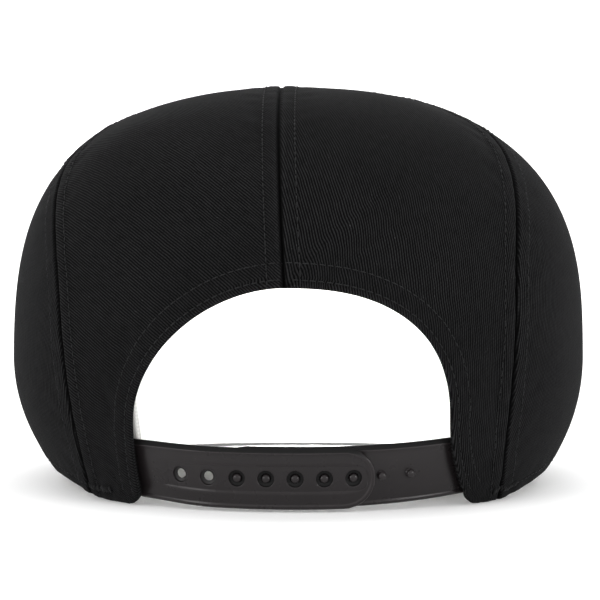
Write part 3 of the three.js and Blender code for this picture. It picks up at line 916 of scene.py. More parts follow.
def twill_group():
    """Twill: ridges across u at a pitch, each broken into yarns along v, with uneven yarn thickness."""
    def body(tree, given):
        vector, pitch = given["Vector"], given["Pitch"]
        axes = node(tree, "ShaderNodeSeparateXYZ", {0: vector}).outputs
        drift = calc(tree, "MULTIPLY", calc(tree, "SUBTRACT", noise(tree, vector, 95.0), 0.5), given["Drift"])
        lines = calc(tree, "ADD", calc(tree, "DIVIDE", axes["X"], pitch), drift)
        ridge = wave_of(tree, lines)
        steps = calc(tree, "DIVIDE", axes["Y"], calc(tree, "MULTIPLY", pitch, 1.55))
        yarns = calc(tree, "ADD", steps, calc(tree, "MULTIPLY", calc(tree, "FLOOR", lines), 0.37))
        yarn = wave_of(tree, yarns)
        stretch = node(tree, "ShaderNodeMapping", {"Vector": vector, "Scale": SLUB_SCALE}).outputs[0]
        slub = ranged(tree, noise(tree, stretch, 1.0, 2.0), 0.25, 0.75, 0.55, 1.1)
        body_height = calc(tree, "MULTIPLY", ridge, calc(tree, "MULTIPLY_ADD", yarn, 0.3, 0.7))
        return {"Height": calc(tree, "MULTIPLY", body_height, slub), "Ridge": ridge}

    return group(
        "twill_weave",
        [("Vector", VECTOR, None), ("Pitch", FLOAT, 0.0008), ("Drift", FLOAT, 0.9)],
        [("Height", FLOAT), ("Ridge", FLOAT)],
        body,
    )


def plain_weave_group():
    """Plain weave: the greater of two crossed sets of yarns, each going over and under in turn."""
    def body(tree, given):
        axes = node(tree, "ShaderNodeSeparateXYZ", {0: given["Vector"]}).outputs
        waves = []
        for axis in ("X", "Y"):
            turns = calc(tree, "MULTIPLY", calc(tree, "DIVIDE", axes[axis], given["Pitch"]), math.pi)
            waves.append(calc(tree, "SINE", turns))
        checks = calc(tree, "MULTIPLY", waves[0], waves[1])
        yarns = []
        for wave, lean in zip(waves, (0.25, -0.25)):
            over = calc(tree, "MULTIPLY_ADD", checks, lean, 0.75)
            yarns.append(calc(tree, "MULTIPLY", calc(tree, "ABSOLUTE", wave), over))
        return {"Height": calc(tree, "MAXIMUM", *yarns)}

    return group(
        "plain_weave", [("Vector", VECTOR, None), ("Pitch", FLOAT, 0.001)], [("Height", FLOAT)], body,
    )


def mottle_group():
    """Uneven dye: broad soft patches, finer blotches and sparse specks of lint, as a factor near 1."""
    def body(tree, given):
        vector = given["Vector"]
        broad = ranged(tree, noise(tree, vector, 28.0, 3.0), 0.3, 0.7, -1.0, 1.0)
        fine = ranged(tree, noise(tree, vector, 310.0, 3.0, 0.6), 0.3, 0.7, -1.0, 1.0)
        both = calc(tree, "MULTIPLY_ADD", broad, 0.6, calc(tree, "MULTIPLY", fine, 0.4))
        lint = ranged(tree, noise(tree, vector, 620.0, 1.0, 0.5, 1.6), 0.74, 0.8)
        return {"Shade": calc(tree, "MULTIPLY_ADD", both, given["Amount"], 1.0), "Lint": lint}

    return group(
        "cloth_mottle",
        [("Vector", VECTOR, None), ("Amount", FLOAT, 0.15)],
        [("Shade", FLOAT), ("Lint", FLOAT)],
        body,
    )


def wear_group():
    """Rubbed edges: the piece's own edge mark, broken up by a noise."""
    def body(tree, given):
        patchy = ranged(tree, noise(tree, given["Vector"], 240.0, 3.0), 0.35, 0.7)
        worn = calc(tree, "MULTIPLY", given["Edge"], calc(tree, "MULTIPLY_ADD", patchy, 0.7, 0.3))
        return {"Worn": calc(tree, "MULTIPLY", worn, given["Amount"])}

    return group(
        "edge_wear",
        [("Vector", VECTOR, None), ("Edge", FLOAT, 0.0), ("Amount", FLOAT, 0.5)],
        [("Worn", FLOAT)],
        body,
    )


def new_material(name, **sockets):
    """A material with one Principled BSDF whose uniform values are set on its own sockets."""
    material = bpy.data.materials.new(name)
    material.use_nodes = True
    shader = material.node_tree.nodes["Principled BSDF"]
    for label, value in sockets.items():
        shader.inputs[label.replace("_", " ")].default_value = value
    return material, material.node_tree, shader


def shade(tree, colour, *factors):
    """A colour times any number of factors."""
    value = factors[0]
    for factor in factors[1:]:
        value = calc(tree, "MULTIPLY", value, factor)
    return node(
        tree, "ShaderNodeVectorMath", {0: tuple(colour)[:3], "Scale": value}, operation="SCALE",
    ).outputs[0]


def twill_material(name, colour, pitch, contrast, depth, amount=0.2, gloss=0.04, fuzz=0.012,
                   lint=1.6):
    """Cotton twill: ridges lighter than the furrows, uneven dye, lint, rubbed edges and painted shade in the
    seams' creases.
    """
    if name in bpy.data.materials:
        return bpy.data.materials[name]
    material, tree, shader = new_material(
        name, Roughness=0.92, Specular_IOR_Level=gloss, Sheen_Weight=fuzz, Sheen_Roughness=0.4,
        Sheen_Tint=(0.95, 0.96, 1.0, 1.0),
    )
    flat = node(tree, "ShaderNodeUVMap", uv_map="cloth").outputs[0]
    edge = node(tree, "ShaderNodeAttribute", attribute_name="edge").outputs["Fac"]
    weave = use_group(tree, twill_group(), {"Vector": flat, "Pitch": pitch})
    mottle = use_group(tree, mottle_group(), {"Vector": flat, "Amount": amount})
    worn = use_group(tree, wear_group(), {"Vector": flat, "Edge": edge, "Amount": 0.55})["Worn"]
    # Painted shade: the crease mark flattens the twill along the seams and takes its lines down to their
    # darkest tone
    crease = node(tree, "ShaderNodeAttribute", attribute_name="crease").outputs["Fac"]
    unshaded_cloth = calc(tree, "SUBTRACT", 1.0, crease)
    height = calc(tree, "MULTIPLY", weave["Height"], unshaded_cloth)
    lines = ranged(tree, height, 0.08, 0.72, 1 - contrast, 1 + 1.6 * contrast, smooth=True)
    lifted = calc(tree, "ADD", calc(tree, "MULTIPLY_ADD", mottle["Lint"], lint, 1.0), worn)
    tree.links.new(shade(tree, colour, lines, mottle["Shade"], lifted), shader.inputs["Base Color"])
    rough = calc(tree, "MULTIPLY_ADD", weave["Height"], -0.08, 0.96)
    tree.links.new(rough, shader.inputs["Roughness"])
    bump = node(tree, "ShaderNodeBump", {"Strength": 0.8, "Distance": depth, "Height": height})
    tree.links.new(bump.outputs[0], shader.inputs["Normal"])
    return material


def lining_material(name, colour, pitch):
    """Off-white plain weave of a stiffened backing, slightly uneven."""
    if name in bpy.data.materials:
        return bpy.data.materials[name]
    material, tree, shader = new_material(name, Roughness=0.9, Specular_IOR_Level=0.2, Sheen_Weight=0.1)
    flat = node(tree, "ShaderNodeUVMap", uv_map="cloth").outputs[0]
    weave = use_group(tree, plain_weave_group(), {"Vector": flat, "Pitch": pitch})
    mottle = use_group(tree, mottle_group(), {"Vector": flat, "Amount": 0.03})
    lines = ranged(tree, weave["Height"], 0.0, 1.0, 0.86, 1.04)
    tree.links.new(shade(tree, colour, lines, mottle["Shade"]), shader.inputs["Base Color"])
    bump = node(tree, "ShaderNodeBump", {"Strength": 0.6, "Distance": 0.0002, "Height": weave["Height"]})
    tree.links.new(bump.outputs[0], shader.inputs["Normal"])
    return material


def thread_material(name, colour):
    """Polyester sewing thread: two plies twisted round each other, a little glossier than the cloth."""
    if name in bpy.data.materials:
        return bpy.data.materials[name]
    material, tree, shader = new_material(
        name, Roughness=0.65, Specular_IOR_Level=0.15, Sheen_Weight=0.02, Sheen_Roughness=0.4,
    )
    flat = node(tree, "ShaderNodeUVMap", uv_map="cloth").outputs[0]
    axes = node(tree, "ShaderNodeSeparateXYZ", {0: flat}).outputs
    slanted = calc(tree, "MULTIPLY_ADD", axes["X"], 1.1, axes["Y"])
    plies = calc(tree, "SINE", calc(tree, "MULTIPLY", slanted, 2 * math.pi / 0.00062))
    twist = calc(tree, "MULTIPLY_ADD", plies, 0.5, 0.5)
    place = node(tree, "ShaderNodeTexCoord").outputs["Object"]
    uneven = ranged(tree, noise(tree, place, 170.0, 2.0), 0.3, 0.7, 0.75, 1.25)
    lines = ranged(tree, twist, 0.0, 1.0, 0.7, 1.15)
    tree.links.new(shade(tree, colour, lines, uneven), shader.inputs["Base Color"])
    bump = node(tree, "ShaderNodeBump", {"Strength": 0.5, "Distance": 0.00008, "Height": twist})
    tree.links.new(bump.outputs[0], shader.inputs["Normal"])
    return material


def plastic_material(name, colour):
    """Satin moulded plastic: a fine moulded grain, faint clouds, a little dust, rubbed rims and painted
    shade.
    """
    if name in bpy.data.materials:
        return bpy.data.materials[name]
    material, tree, shader = new_material(name, Specular_IOR_Level=0.26, IOR=1.49)
    place = node(tree, "ShaderNodeTexCoord").outputs["Object"]
    edge = node(tree, "ShaderNodeAttribute", attribute_name="edge").outputs["Fac"]
    clouds = ranged(tree, noise(tree, place, 55.0, 3.0), 0.3, 0.7, 0.9, 1.1)
    dust = ranged(tree, noise(tree, place, 900.0, 2.0, 0.5, 0.8), 0.72, 0.8, 0.0, 1.5)
    rim = ranged(tree, edge, 0.0, 1.0)
    # Painted shade: an edge mark below 0 darkens the colour, down to 0.08 of it, in the recesses, the holes,
    # the top flank and under the rim
    sunk = ranged(tree, edge, -1.0, 0.0, 0.08, 1.0)
    worn = use_group(tree, wear_group(), {"Vector": place, "Edge": rim, "Amount": 2.2})["Worn"]
    lifted = calc(tree, "ADD", calc(tree, "ADD", dust, 1.0), worn)
    tree.links.new(shade(tree, colour, clouds, lifted, sunk), shader.inputs["Base Color"])
    grain = noise(tree, place, 2600.0, 2.0)
    rough = ranged(tree, noise(tree, place, 140.0, 3.0), 0.3, 0.7, 0.25, 0.33)
    rough = calc(tree, "ADD", rough, ranged(tree, edge, -1.0, 0.0, 0.4, 0.0))
    tree.links.new(rough, shader.inputs["Roughness"])
    bump = node(tree, "ShaderNodeBump", {"Strength": 0.35, "Distance": 0.00004, "Height": grain})
    tree.links.new(bump.outputs[0], shader.inputs["Normal"])
    return material


def cloth_material():
    sizes = bpy.context.scene.cap_cloth
    return twill_material("black_twill", sizes.colour, sizes.pitch, sizes.contrast, sizes.depth)


# ---- Settings ----

class CapClothSettings(bpy.types.PropertyGroup):
    """Sizes and colours of the cloth."""

    colour: bpy.props.FloatVectorProperty(
        name="Cloth", description="Colour of the black twill", subtype="COLOR",
        default=(0.0058, 0.0058, 0.006), min=0, max=1,
    )
    lining_colour: bpy.props.FloatVectorProperty(
        name="Lining", description="Colour of the backing and the sweatband", subtype="COLOR",
        default=(0.86, 0.85, 0.82), min=0, max=1,
    )
    pitch: bpy.props.FloatProperty(
        name="Twill pitch", description="Distance between two twill lines", unit="LENGTH",
        default=0.00079, min=0.0002, max=0.005, precision=5,
    )
    depth: bpy.props.FloatProperty(
        name="Twill depth", description="Height of the twill lines", unit="LENGTH",
        default=0.00016, min=0, max=0.001, precision=5,
    )
    contrast: bpy.props.FloatProperty(
        name="Twill contrast", description="How much lighter the lines are than the furrows",
        default=0.85, min=0, max=1,
    )
    left_angle: bpy.props.FloatProperty(
        name="Left twill angle", description="Slope of the lines on the left back panel, seen from behind",
        subtype="ANGLE", default=math.radians(-35),
    )
    right_angle: bpy.props.FloatProperty(
        name="Right twill angle", description="Slope of the lines on the right back panel, seen from behind",
        subtype="ANGLE", default=math.radians(-86),
    )


class CapStitchSettings(bpy.types.PropertyGroup):
    """Sizes and colour of the sewing."""

    pitch: bpy.props.FloatProperty(
        name="Stitch pitch", description="Length of one stitch and the gap after it", unit="LENGTH",
        default=0.0025, min=0.001, max=0.01, precision=4,
    )
    gap: bpy.props.FloatProperty(
        name="Stitch gap", description="Gap between two stitches", unit="LENGTH",
        default=0.0006, min=0, max=0.005, precision=4,
    )
    thread: bpy.props.FloatProperty(
        name="Thread", description="Thickness of the sewing thread", unit="LENGTH",
        default=0.00038, min=0.0001, max=0.002, precision=5,
    )
    colour: bpy.props.FloatVectorProperty(
        name="Thread colour", description="Colour of the sewing thread", subtype="COLOR",
        default=(0.0105, 0.0105, 0.011), min=0, max=1,
    )


class CapStrapSettings(bpy.types.PropertyGroup):
    """Sizes and colour of the snap strap."""

    colour: bpy.props.FloatVectorProperty(
        name="Plastic", description="Colour of the moulded strap", subtype="COLOR",
        default=(0.0105, 0.0086, 0.0091), min=0, max=1,
    )
    bead: bpy.props.FloatProperty(
        name="Rim bead", description="Height of the bead along the strap's edge", unit="LENGTH",
        default=0.00032, min=0, max=0.001, precision=5,
    )
    track: bpy.props.FloatProperty(
        name="Track", description="Depth of the sunk track round the holes", unit="LENGTH",
        default=0.0002, min=0, max=0.001, precision=5,
    )


class CapStudioSettings(bpy.types.PropertyGroup):
    """Camera, floor and lights."""

    distance: bpy.props.FloatProperty(
        name="Camera distance", description="From the camera to the strap", unit="LENGTH",
        default=0.85, min=0.2,
    )
    height: bpy.props.FloatProperty(
        name="Camera height", description="Height of the camera above the floor", unit="LENGTH",
        default=0.115,
    )
    pitch_down: bpy.props.FloatProperty(
        name="Camera pitch", description="How far the camera looks down", subtype="ANGLE",
        default=math.radians(3.43),
    )
    focal_pixels: bpy.props.FloatProperty(
        name="Focal length", description="Focal length in pixels of the square picture",
        default=2847.5, min=100,
    )
    floor: bpy.props.FloatVectorProperty(
        name="Floor", description="Colour of the floor", subtype="COLOR",
        default=(0.9, 0.9, 0.9), min=0, max=1,
    )
    key: bpy.props.FloatProperty(
        name="Top light", description="Strength of the top light", default=3.4, min=0,
    )
    side: bpy.props.FloatProperty(
        name="Side lights", description="Strength of each side light", default=5.2, min=0,
    )
    fill: bpy.props.FloatProperty(
        name="Camera light", description="Strength of the light by the camera", default=1.7, min=0,
    )
    inner: bpy.props.FloatProperty(
        name="Inner light", description="Strength of the light inside", default=0.10, min=0,
    )
    wall: bpy.props.FloatProperty(
        name="Wall light", description="Strength of the light on the wall", default=60.0, min=0,
    )
    sky: bpy.props.FloatProperty(
        name="Surround", description="Strength of the white surround", default=0.8, min=0,
    )


# ---- Pieces ----

# Slope of the twill on the side panels, seen from their own side
SIDE_TWILL = {"left": 80.0, "right": 72.0}


class CAP_OT_crown(bpy.types.Operator):
    """Sews the five panels of the crown"""

    bl_idname = "cap.crown"
    bl_label = "Crown panels"

    def execute(self, context):
        cloth, stitch = context.scene.cap_cloth, context.scene.cap_stitch
        material = cloth_material()
        down = crowded(170, 0.0, 0.75)
        back_view = np.array([[-1.0, 0, 0], [0, 0, 1]])
        left_view = np.array([[0, 1.0, 0], [0, 0, 1]])
        right_view = np.array([[0, -1.0, 0], [0, 0, 1]])
        front_view = np.array([[1.0, 0, 0], [0, 0, 1]])
        front_turn = FRONT_SEAM_TURN
        side_share, front_share = crowded(96, 0.8, 0.8), crowded(180, 0.8, 0.8)
        back_share = crowded(110, 0.85, 0.8)
        sheets = (
            ("front_panel", lambda: fanned_grid(front_turn, 360 - front_turn, down, front_share),
             ("front_left", "front_right"), False, front_view, 45),
            ("side_panel_left",
             lambda: fanned_grid(front_turn, LEFT_SEAM_TURN, down, side_share, waved=True),
             ("side_left", "front_left"), False, left_view, SIDE_TWILL["left"]),
            ("side_panel_right",
             lambda: fanned_grid(-front_turn, -RIGHT_SEAM_TURN, down, side_share, waved=True),
             ("side_right", "front_right"), False, right_view, SIDE_TWILL["right"]),
            ("back_panel_left", lambda: back_grid(1, back_share),
             ("back", "side_left"), True, back_view, math.degrees(cloth.left_angle)),
            ("back_panel_right", lambda: back_grid(-1, back_share),
             ("back", "side_right"), True, back_view, math.degrees(cloth.right_angle)),
        )
        for name, grid, seams, arch, view, angle in sheets:
            base = grid()
            normal = crown_normal(base)
            # crease carries the painted shade along the seams' creases
            relief, wear, crease = crown_relief(base, seams, arch, stitch.pitch / METRE)
            outer = base + normal * relief[..., None]
            free, _ = to_curve(base, ARCH) if arch else (np.full(base.shape[:2], 99.0), None)
            hem, _ = to_curve(base, HEM)
            depth = CLOTH_WALL - 0.45 * np.maximum(bell(free, 1.2), 0)
            inner = base - normal * depth[..., None]
            level = ease(-hem, -2.6, 0.0)
            inner[..., 2] = lerp(inner[..., 2], np.minimum(inner[..., 2], base[..., 2]), level)
            flat = turned(flattened(base, view), angle)
            piece = shell(name + "_cloth", outer, inner, material, flat, {"edge": wear, "crease": crease})
            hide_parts(name)
        return {"FINISHED"}


class CAP_OT_facing(bpy.types.Operator):
    """Lays the facing inside the arch"""

    bl_idname = "cap.facing"
    bl_label = "Arch facing"

    def execute(self, context):
        left, right = (arch_edge(side, corner_rows=1)[:-1] for side in (1, -1))
        path = resampled(np.concatenate([left[::-1], right[1:]]), 0.8)
        along = unit(np.gradient(path, axis=0))
        outward = np.stack([along[:, 1], -along[:, 0]], -1)
        share = crowded(22, 0.7, 0.7)
        distance = lerp(FACING_SETBACK, FACING_WIDTH, share)
        seen = path[:, None] + outward[:, None] * distance[None, :, None]
        base = back_at(seen[..., 0], seen[..., 1])
        normal = crown_normal(base)
        run = np.concatenate([[0], np.cumsum(length(np.diff(path, axis=0)))])
        ends = np.minimum(distance - FACING_SETBACK, FACING_WIDTH - distance)
        thin = 0.25 * bell(ends, 0.5)[None] + 0.06 * ripple(run, 33)[:, None]
        depth = CLOTH_WALL + LAYER_GAP
        outer = base - normal * (depth + np.maximum(thin, 0))[..., None]
        inner = base - normal * (depth + FACING_WALL - thin)[..., None]
        flat = turned(np.stack(np.broadcast_arrays(run[:, None], distance[None]), -1), 40)
        edge = np.array(np.broadcast_to(bell(ends, RUB_WIDTH)[None], thin.shape))
        piece = shell("arch_facing_tape", outer, inner, cloth_material(), flat, {"edge": edge})
        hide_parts("arch_facing")
        return {"FINISHED"}


def band_depth(p):
    """Depth of the sweatband behind the crown: it steps in over the backing and over the strap's tabs."""
    turn = np.abs(turn_of(p))
    left_tab = SEAM_SHIFT + ARCH_REACH[1] + ARCH_FOOT[1] + FACING_WIDTH
    right_tab = SEAM_SHIFT - ARCH_REACH[-1] - ARCH_FOOT[-1] - FACING_WIDTH
    left_turn = abs(float(turn_of(back_at(left_tab, STRAP_HEIGHT))))
    right_turn = abs(float(turn_of(back_at(right_tab, STRAP_HEIGHT))))
    tab_turn = np.where(p[..., 0] > 0, left_turn, right_turn)
    over_tab = 1 - ease(turn, tab_turn + 2, tab_turn + 14)
    over_backing = ease(turn, FRONT_SEAM_TURN - 8, FRONT_SEAM_TURN)
    tab_step = STRAP_DEPTH - CLOTH_WALL + STRAP_WALL
    return CLOTH_WALL + LAYER_GAP + over_tab * tab_step + over_backing * (BACKING_WALL + LAYER_GAP)


class CAP_OT_lining(bpy.types.Operator):
    """Lays the front's backing and the sweatband inside the crown"""

    bl_idname = "cap.lining"
    bl_label = "Backing and sweatband"

    def execute(self, context):
        colour = tuple(context.scene.cap_cloth.lining_colour)
        down = lerp(BACKING_FROM, BACKING_TO, crowded(80, 0.5, 0.5))
        across = crowded(110, 0.7, 0.7)
        base = fanned_grid(FRONT_SEAM_TURN, 360 - FRONT_SEAM_TURN, down, across, BACKING_SETBACK)
        normal = crown_normal(base)
        depth = CLOTH_WALL + LAYER_GAP + 0.08 * np.clip(waviness(base, 17), -1, 1) + 0.08
        outer = base - normal * depth[..., None]
        inner = base - normal * (depth + BACKING_WALL - 0.1)[..., None]
        flat = flattened(base, np.array([[1.0, 0, 0], [0, 0, 1]]))
        backing = lining_material("backing_weave", colour, 0.0011)
        piece = shell("front_backing_cloth", outer, inner, backing, flat)
        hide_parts("front_backing")

        def end_turn(x):
            return float(turn_of(back_at(x, ARCH_WIDEST)))

        start = end_turn(SEAM_SHIFT + ARCH_REACH[1] + BAND_END_SETBACK)
        end = 360 + end_turn(SEAM_SHIFT - ARCH_REACH[-1] - max(ARCH_FOOT[-1], 0) - BAND_END_SETBACK)
        turn = np.linspace(start, end, 421)
        share = crowded(30, 0.6, 0.8)
        share = np.concatenate([share[:1], [BAND_FOLD_SHARE], share[1:]])
        away = np.abs((turn + 180) % 360 - 180)
        in_front = ease(away, FRONT_SEAM_TURN - 16, FRONT_SEAM_TURN + 4)
        bottom = lerp(hem_height(turn) + BAND_HEM_SETBACK, BAND_FLOOR_GAP, in_front)
        top = hem_height(turn) + BAND_HEM_SETBACK + BAND_HEIGHT
        height = lerp(bottom[None], top[None], share[:, None])
        base = crown_at(np.broadcast_to(turn[None], height.shape), height)
        normal = crown_normal(base)
        run = np.concatenate([[0], np.cumsum(length(np.diff(base[15], axis=0)))])
        rise = share * BAND_HEIGHT
        soft = 0.1 * ripple(run, 45, (19.0, 31.0, 47.0))[None] * ease(rise, 4, 20)[:, None]
        dent = 0.25 * (bell(rise - 4.0, 0.8) + bell(rise - BAND_HEIGHT + 3.0, 0.8))[:, None]
        thin = 0.35 * bell(np.minimum(rise, BAND_HEIGHT - rise), 0.7)[:, None]
        thin = thin * (1 - in_front * (rise < BAND_HEIGHT / 2)[:, None])
        depth = band_depth(base)
        outer = base - normal * (depth + 0.12 + thin)[..., None]
        inner = base - normal * (depth + BAND_WALL - dent - thin + soft * 0.5)[..., None]
        flat = np.stack(np.broadcast_arrays(run[None], rise[:, None]), -1)
        flat = turned(flat, 58)
        band = twill_material("band_twill", colour, 0.0007, 0.05, 0.0001, 0.03, gloss=0.2, fuzz=0.1, lint=0.0)
        piece = shell("sweatband_cloth", outer, inner, band, flat, {"edge": np.zeros(base.shape[:2])})
        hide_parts("sweatband")
        return {"FINISHED"}


class CAP_OT_button(bpy.types.Operator):
    """Covers the button"""

    bl_idname = "cap.button"
    bl_label = "Button"

    def execute(self, context):
        angle = np.linspace(0, np.pi / 2, 16)
        dome = [
            (BUTTON_RADIUS * math.sin(a), BUTTON_LIP + (BUTTON_HEIGHT - BUTTON_LIP) * math.cos(a) ** 0.9)
            for a in angle[::-1]
        ]
        under = [(0.0, -1.2), (1.6, -1.2), (1.6, 0.1), (4.2, 0.02), (BUTTON_RADIUS - 0.6, 0.0)]
        profile = under + dome[:-1] + [(0.0, BUTTON_HEIGHT)]
        normal = crown_normal(BUTTON[None])[0]
        points, quads, caps = lathe(profile, BUTTON, normal, 96)
        offset = points - BUTTON
        height = offset @ normal
        flat_part = offset - height[:, None] * normal
        radius = length(flat_part)
        side = unit(np.cross(normal, np.array([0, 1.0, 0])))
        other = np.cross(normal, side)
        turn = np.arctan2(flat_part @ other, flat_part @ side)
        gather = 0.14 * np.sin(turn * 19 + 0.7) * np.sin(turn * 7) * ease(radius, 5.2, 7.4) * (height > 0.1)
        points = points + unit(flat_part + normal * TINY) * gather[:, None] * 0.8
        spread = 1 + 0.25 * (radius / BUTTON_RADIUS)[:, None] ** 4
        flat = np.stack([flat_part @ side, flat_part @ other], -1) * spread
        edge = bell(radius - BUTTON_RADIUS, 1.0) * 0.6
        piece = build("top_button_cloth", points, [quads, caps], cloth_material(), flat, {"edge": edge})
        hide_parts("top_button")
        return {"FINISHED"}


def peak_lines(columns):
    """Root and rim of the peak, in columns from the left temple round the tip to the right one."""
    temple = hem_at(FRONT_SEAM_TURN)
    tip_y = -HEM_FRONT - PEAK_PROJECTION
    knots = np.array([
        (temple[0], temple[1]), (temple[0] + PEAK_SWELL, temple[1] - PEAK_RUN),
        (PEAK_FLAT, tip_y), (0.0, tip_y),
    ])
    t = np.linspace(0, 1, columns // 2 + 1)[:, None]
    half = (1 - t) ** 3 * knots[0] + 3 * t * (1 - t) ** 2 * knots[1]
    half = half + 3 * t * t * (1 - t) * knots[2] + t ** 3 * knots[3]
    widest = int(half[:, 0].argmax())
    share = np.where(np.arange(len(half)) < widest, 1.0, (half[:, 0] / half[widest, 0]) ** 2)
    rise = lerp(PEAK_TIP_RISE, PEAK_WALL, share)
    edge = np.concatenate([half, (half[:-1] * (-1, 1))[::-1]])
    rise = np.concatenate([rise, rise[:-1][::-1]])
    turn = np.linspace(FRONT_SEAM_TURN, 360 - FRONT_SEAM_TURN, len(edge))
    hem = hem_at(turn)
    root = hem - crown_normal(hem) * PEAK_OVERLAP
    root[:, 2] = hem_height(turn) - CLEARANCE
    rim = np.column_stack([edge[:, 0], np.minimum(edge[:, 1], root[:, 1] - 2 * CLEARANCE), rise])
    return root, rim


PEAK_ROWS = (3.0, 10.0, 17.0, 24.0, 31.0, 38.0, 45.0, 52.0)


class CAP_OT_peak(bpy.types.Operator):
    """Covers the peak"""

    bl_idname = "cap.peak"
    bl_label = "Peak"

    def execute(self, context):
        root, rim = peak_lines(260)
        run = length((rim - root)[:, :2])
        round_by = np.minimum(PEAK_WALL / 2, run * 0.45)
        share = crowded(70, 0.3, 0.7)
        inside = 1 - round_by / np.maximum(run, TINY)
        sheet = root[None] + (rim - root)[None] * (share[:, None] * inside[None])[..., None]
        to_rim = (1 - share[:, None] * inside[None]) * run[None]
        from_root = share[:, None] * inside[None] * run[None]
        dent = sum(0.28 * bell(to_rim - row, 0.8) for row in PEAK_ROWS) * ease(from_root, 0.5, 3.0)
        quilt = 0.22 * sum(bell(to_rim - row - 3.5, 2.0) for row in PEAK_ROWS) * ease(from_root, 1.0, 5.0)
        binding = 0.3 * bell(to_rim - 1.2, 1.5)
        under_hem = 0.9 * CLEARANCE * bell(from_root - PEAK_OVERLAP, 1.0)
        puff = ((quilt - dent + binding) * 0.7 - 0.25) * ease(from_root, 0.2, 1.5)
        puff = np.maximum(puff, under_hem)
        upper = sheet + np.array([0, 0, 1.0]) * puff[..., None]
        lower = sheet - np.array([0, 0, 1.0]) * (PEAK_WALL + np.minimum(puff, 0))[..., None]
        out = unit((rim - root) * (1, 1, 0))
        angle = np.linspace(0, np.pi, 14)[1:-1]
        last = upper[-1], lower[-1]
        middle, half = (last[0] + last[1]) / 2, (last[0] - last[1]) / 2
        groove = 1 - 0.1 * bell(angle - np.pi / 2, 0.28)
        turn_round = (middle[None] + half[None] * np.cos(angle)[:, None, None]
                      + out[None] * (round_by[None] * (np.sin(angle) * groove)[:, None])[..., None])
        loop = np.concatenate([upper, turn_round, lower[::-1]])
        rows, columns = loop.shape[:2]
        points = loop.reshape(-1, 3)
        index = np.arange(rows * columns).reshape(rows, columns)
        back = strip_faces(index[-1], index[0])
        n = len(share)
        cap_rows = len(angle)
        above, below = index[:n], index[::-1][:n]
        left, right = (
            np.stack([above[:-1, k], above[1:, k], below[1:, k], below[:-1, k]], -1) for k in (0, -1)
        )
        round_index = index[n - 1:n + cap_rows + 1]
        half_rows = len(round_index) // 2
        end_sets = []
        for column, flip in ((0, 1), (-1, -1)):
            line = round_index[:, column]
            a, b = line[:half_rows], line[::-1][:half_rows]
            end_sets.append(np.stack([a[:-1], a[1:], b[1:], b[:-1]], -1)[:, ::flip])
        body = np.concatenate([grid_faces(rows, columns), back])
        sign = volume_sign(points - points.mean(0), body)
        ends = np.concatenate([left, right[:, ::-1]] + end_sets)
        if sign < 0:
            body = body[:, ::-1]
        else:
            ends = ends[:, ::-1]
        flat = turned(points[:, :2], 60)
        edge = np.zeros((rows, columns))
        edge[n - 1:n + cap_rows] = 0.7
        faces = np.concatenate([body, ends])
        piece = build("peak_cloth", points, faces, cloth_material(), flat, {"edge": edge})
        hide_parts("peak")
        return {"FINISHED"}


# ---- Snap strap ----

STRAP_DEPTH = CLOTH_WALL + LAYER_GAP + FACING_WALL + LAYER_GAP
LEFT_TAB_X = SEAM_SHIFT + ARCH_REACH[1] + ARCH_FOOT[1] + STRAP_TAB
RIGHT_TAB_X = SEAM_SHIFT - ARCH_REACH[-1] - ARCH_FOOT[-1] - STRAP_TAB
TRACK_HALF = 3.8
CELL_SIDE = 8
TIP_POWER = 2.8
SHEET_START = 3.0
PLAIN_TIP = 1.7
TRACK_LEAD = 5.6
RIM_INSET = 2.1
# Share of the rubbed rims and of the painted shade kept round the free holes
FREE_HOLE_MARK = 0.45
RECESS_RIM = 0.22
SAME_PLACE = 1e-6

# Rings between the track and the rim: share of the way, lift out of the track and edge mark
TRACK_RINGS = (
    (0.02, 0.0, 0.0), (0.05, 0.5, 0.35), (0.08, 1.0, 0.2), (0.35, 1.0, 0.0), (0.7, 1.0, 0.0),
)
# Rings over the rim: distance from it, height in beads and edge mark, then those two for its top side; the
# marks below 0 on the top side paint shade over the flank that rounds back to the top edge
RIM_RINGS = (
    (RIM_INSET, 0.0, 0.0, 0.0, 0.0), (1.75, 0.0, 0.0, 0.3, 0.0), (1.45, 0.1, 0.0, 0.8, 0.9),
    (1.3, 0.5, 0.7, 0.6, -0.6), (1.15, 0.85, 0.3, 0.2, -1.0), (0.8, 1.0, 0.0, -0.6, -1.0),
    (0.45, 0.95, 0.0, -1.6, -1.0), (0.25, 0.75, 0.9, -2.2, -1.0), (0.06, 0.2, 0.4, -2.7, -1.0),
)
# Rings below the rim: distance from it and height
UNDER_RINGS = (
    (0.0, -STRAP_WALL * 0.72), (0.05, -STRAP_WALL + 0.15), (0.25, -STRAP_WALL), (RIM_INSET, -STRAP_WALL),
)


def snap_x(index):
    return FIRST_HOLE_X - index * SNAP_PITCH


def strap_middle(x):
    """Height of the strap's middle line: it rises a little towards both tabs."""
    left = STRAP_LEFT_RISE * (x / LEFT_TAB_X) ** 2
    right = STRAP_RIGHT_RISE * (x / RIGHT_TAB_X) ** 2
    return STRAP_FLOOR_GAP + np.where(x > 0, left, right) + STRAP_HEIGHT / 2


def holes_depth(x):
    """Depth of the outer half below the crown: past the arch's edge it stands out over the inner half."""
    lift = 1 - ease(x, snap_x(FREE_HOLES) + STRAP_TIP, SEAM_SHIFT + ARCH_REACH[1] + ARCH_FOOT[1])
    return STRAP_DEPTH - lift * (STRAP_WALL + CLEARANCE)


def pegs_depth(x):
    return np.full(np.shape(x), STRAP_DEPTH)


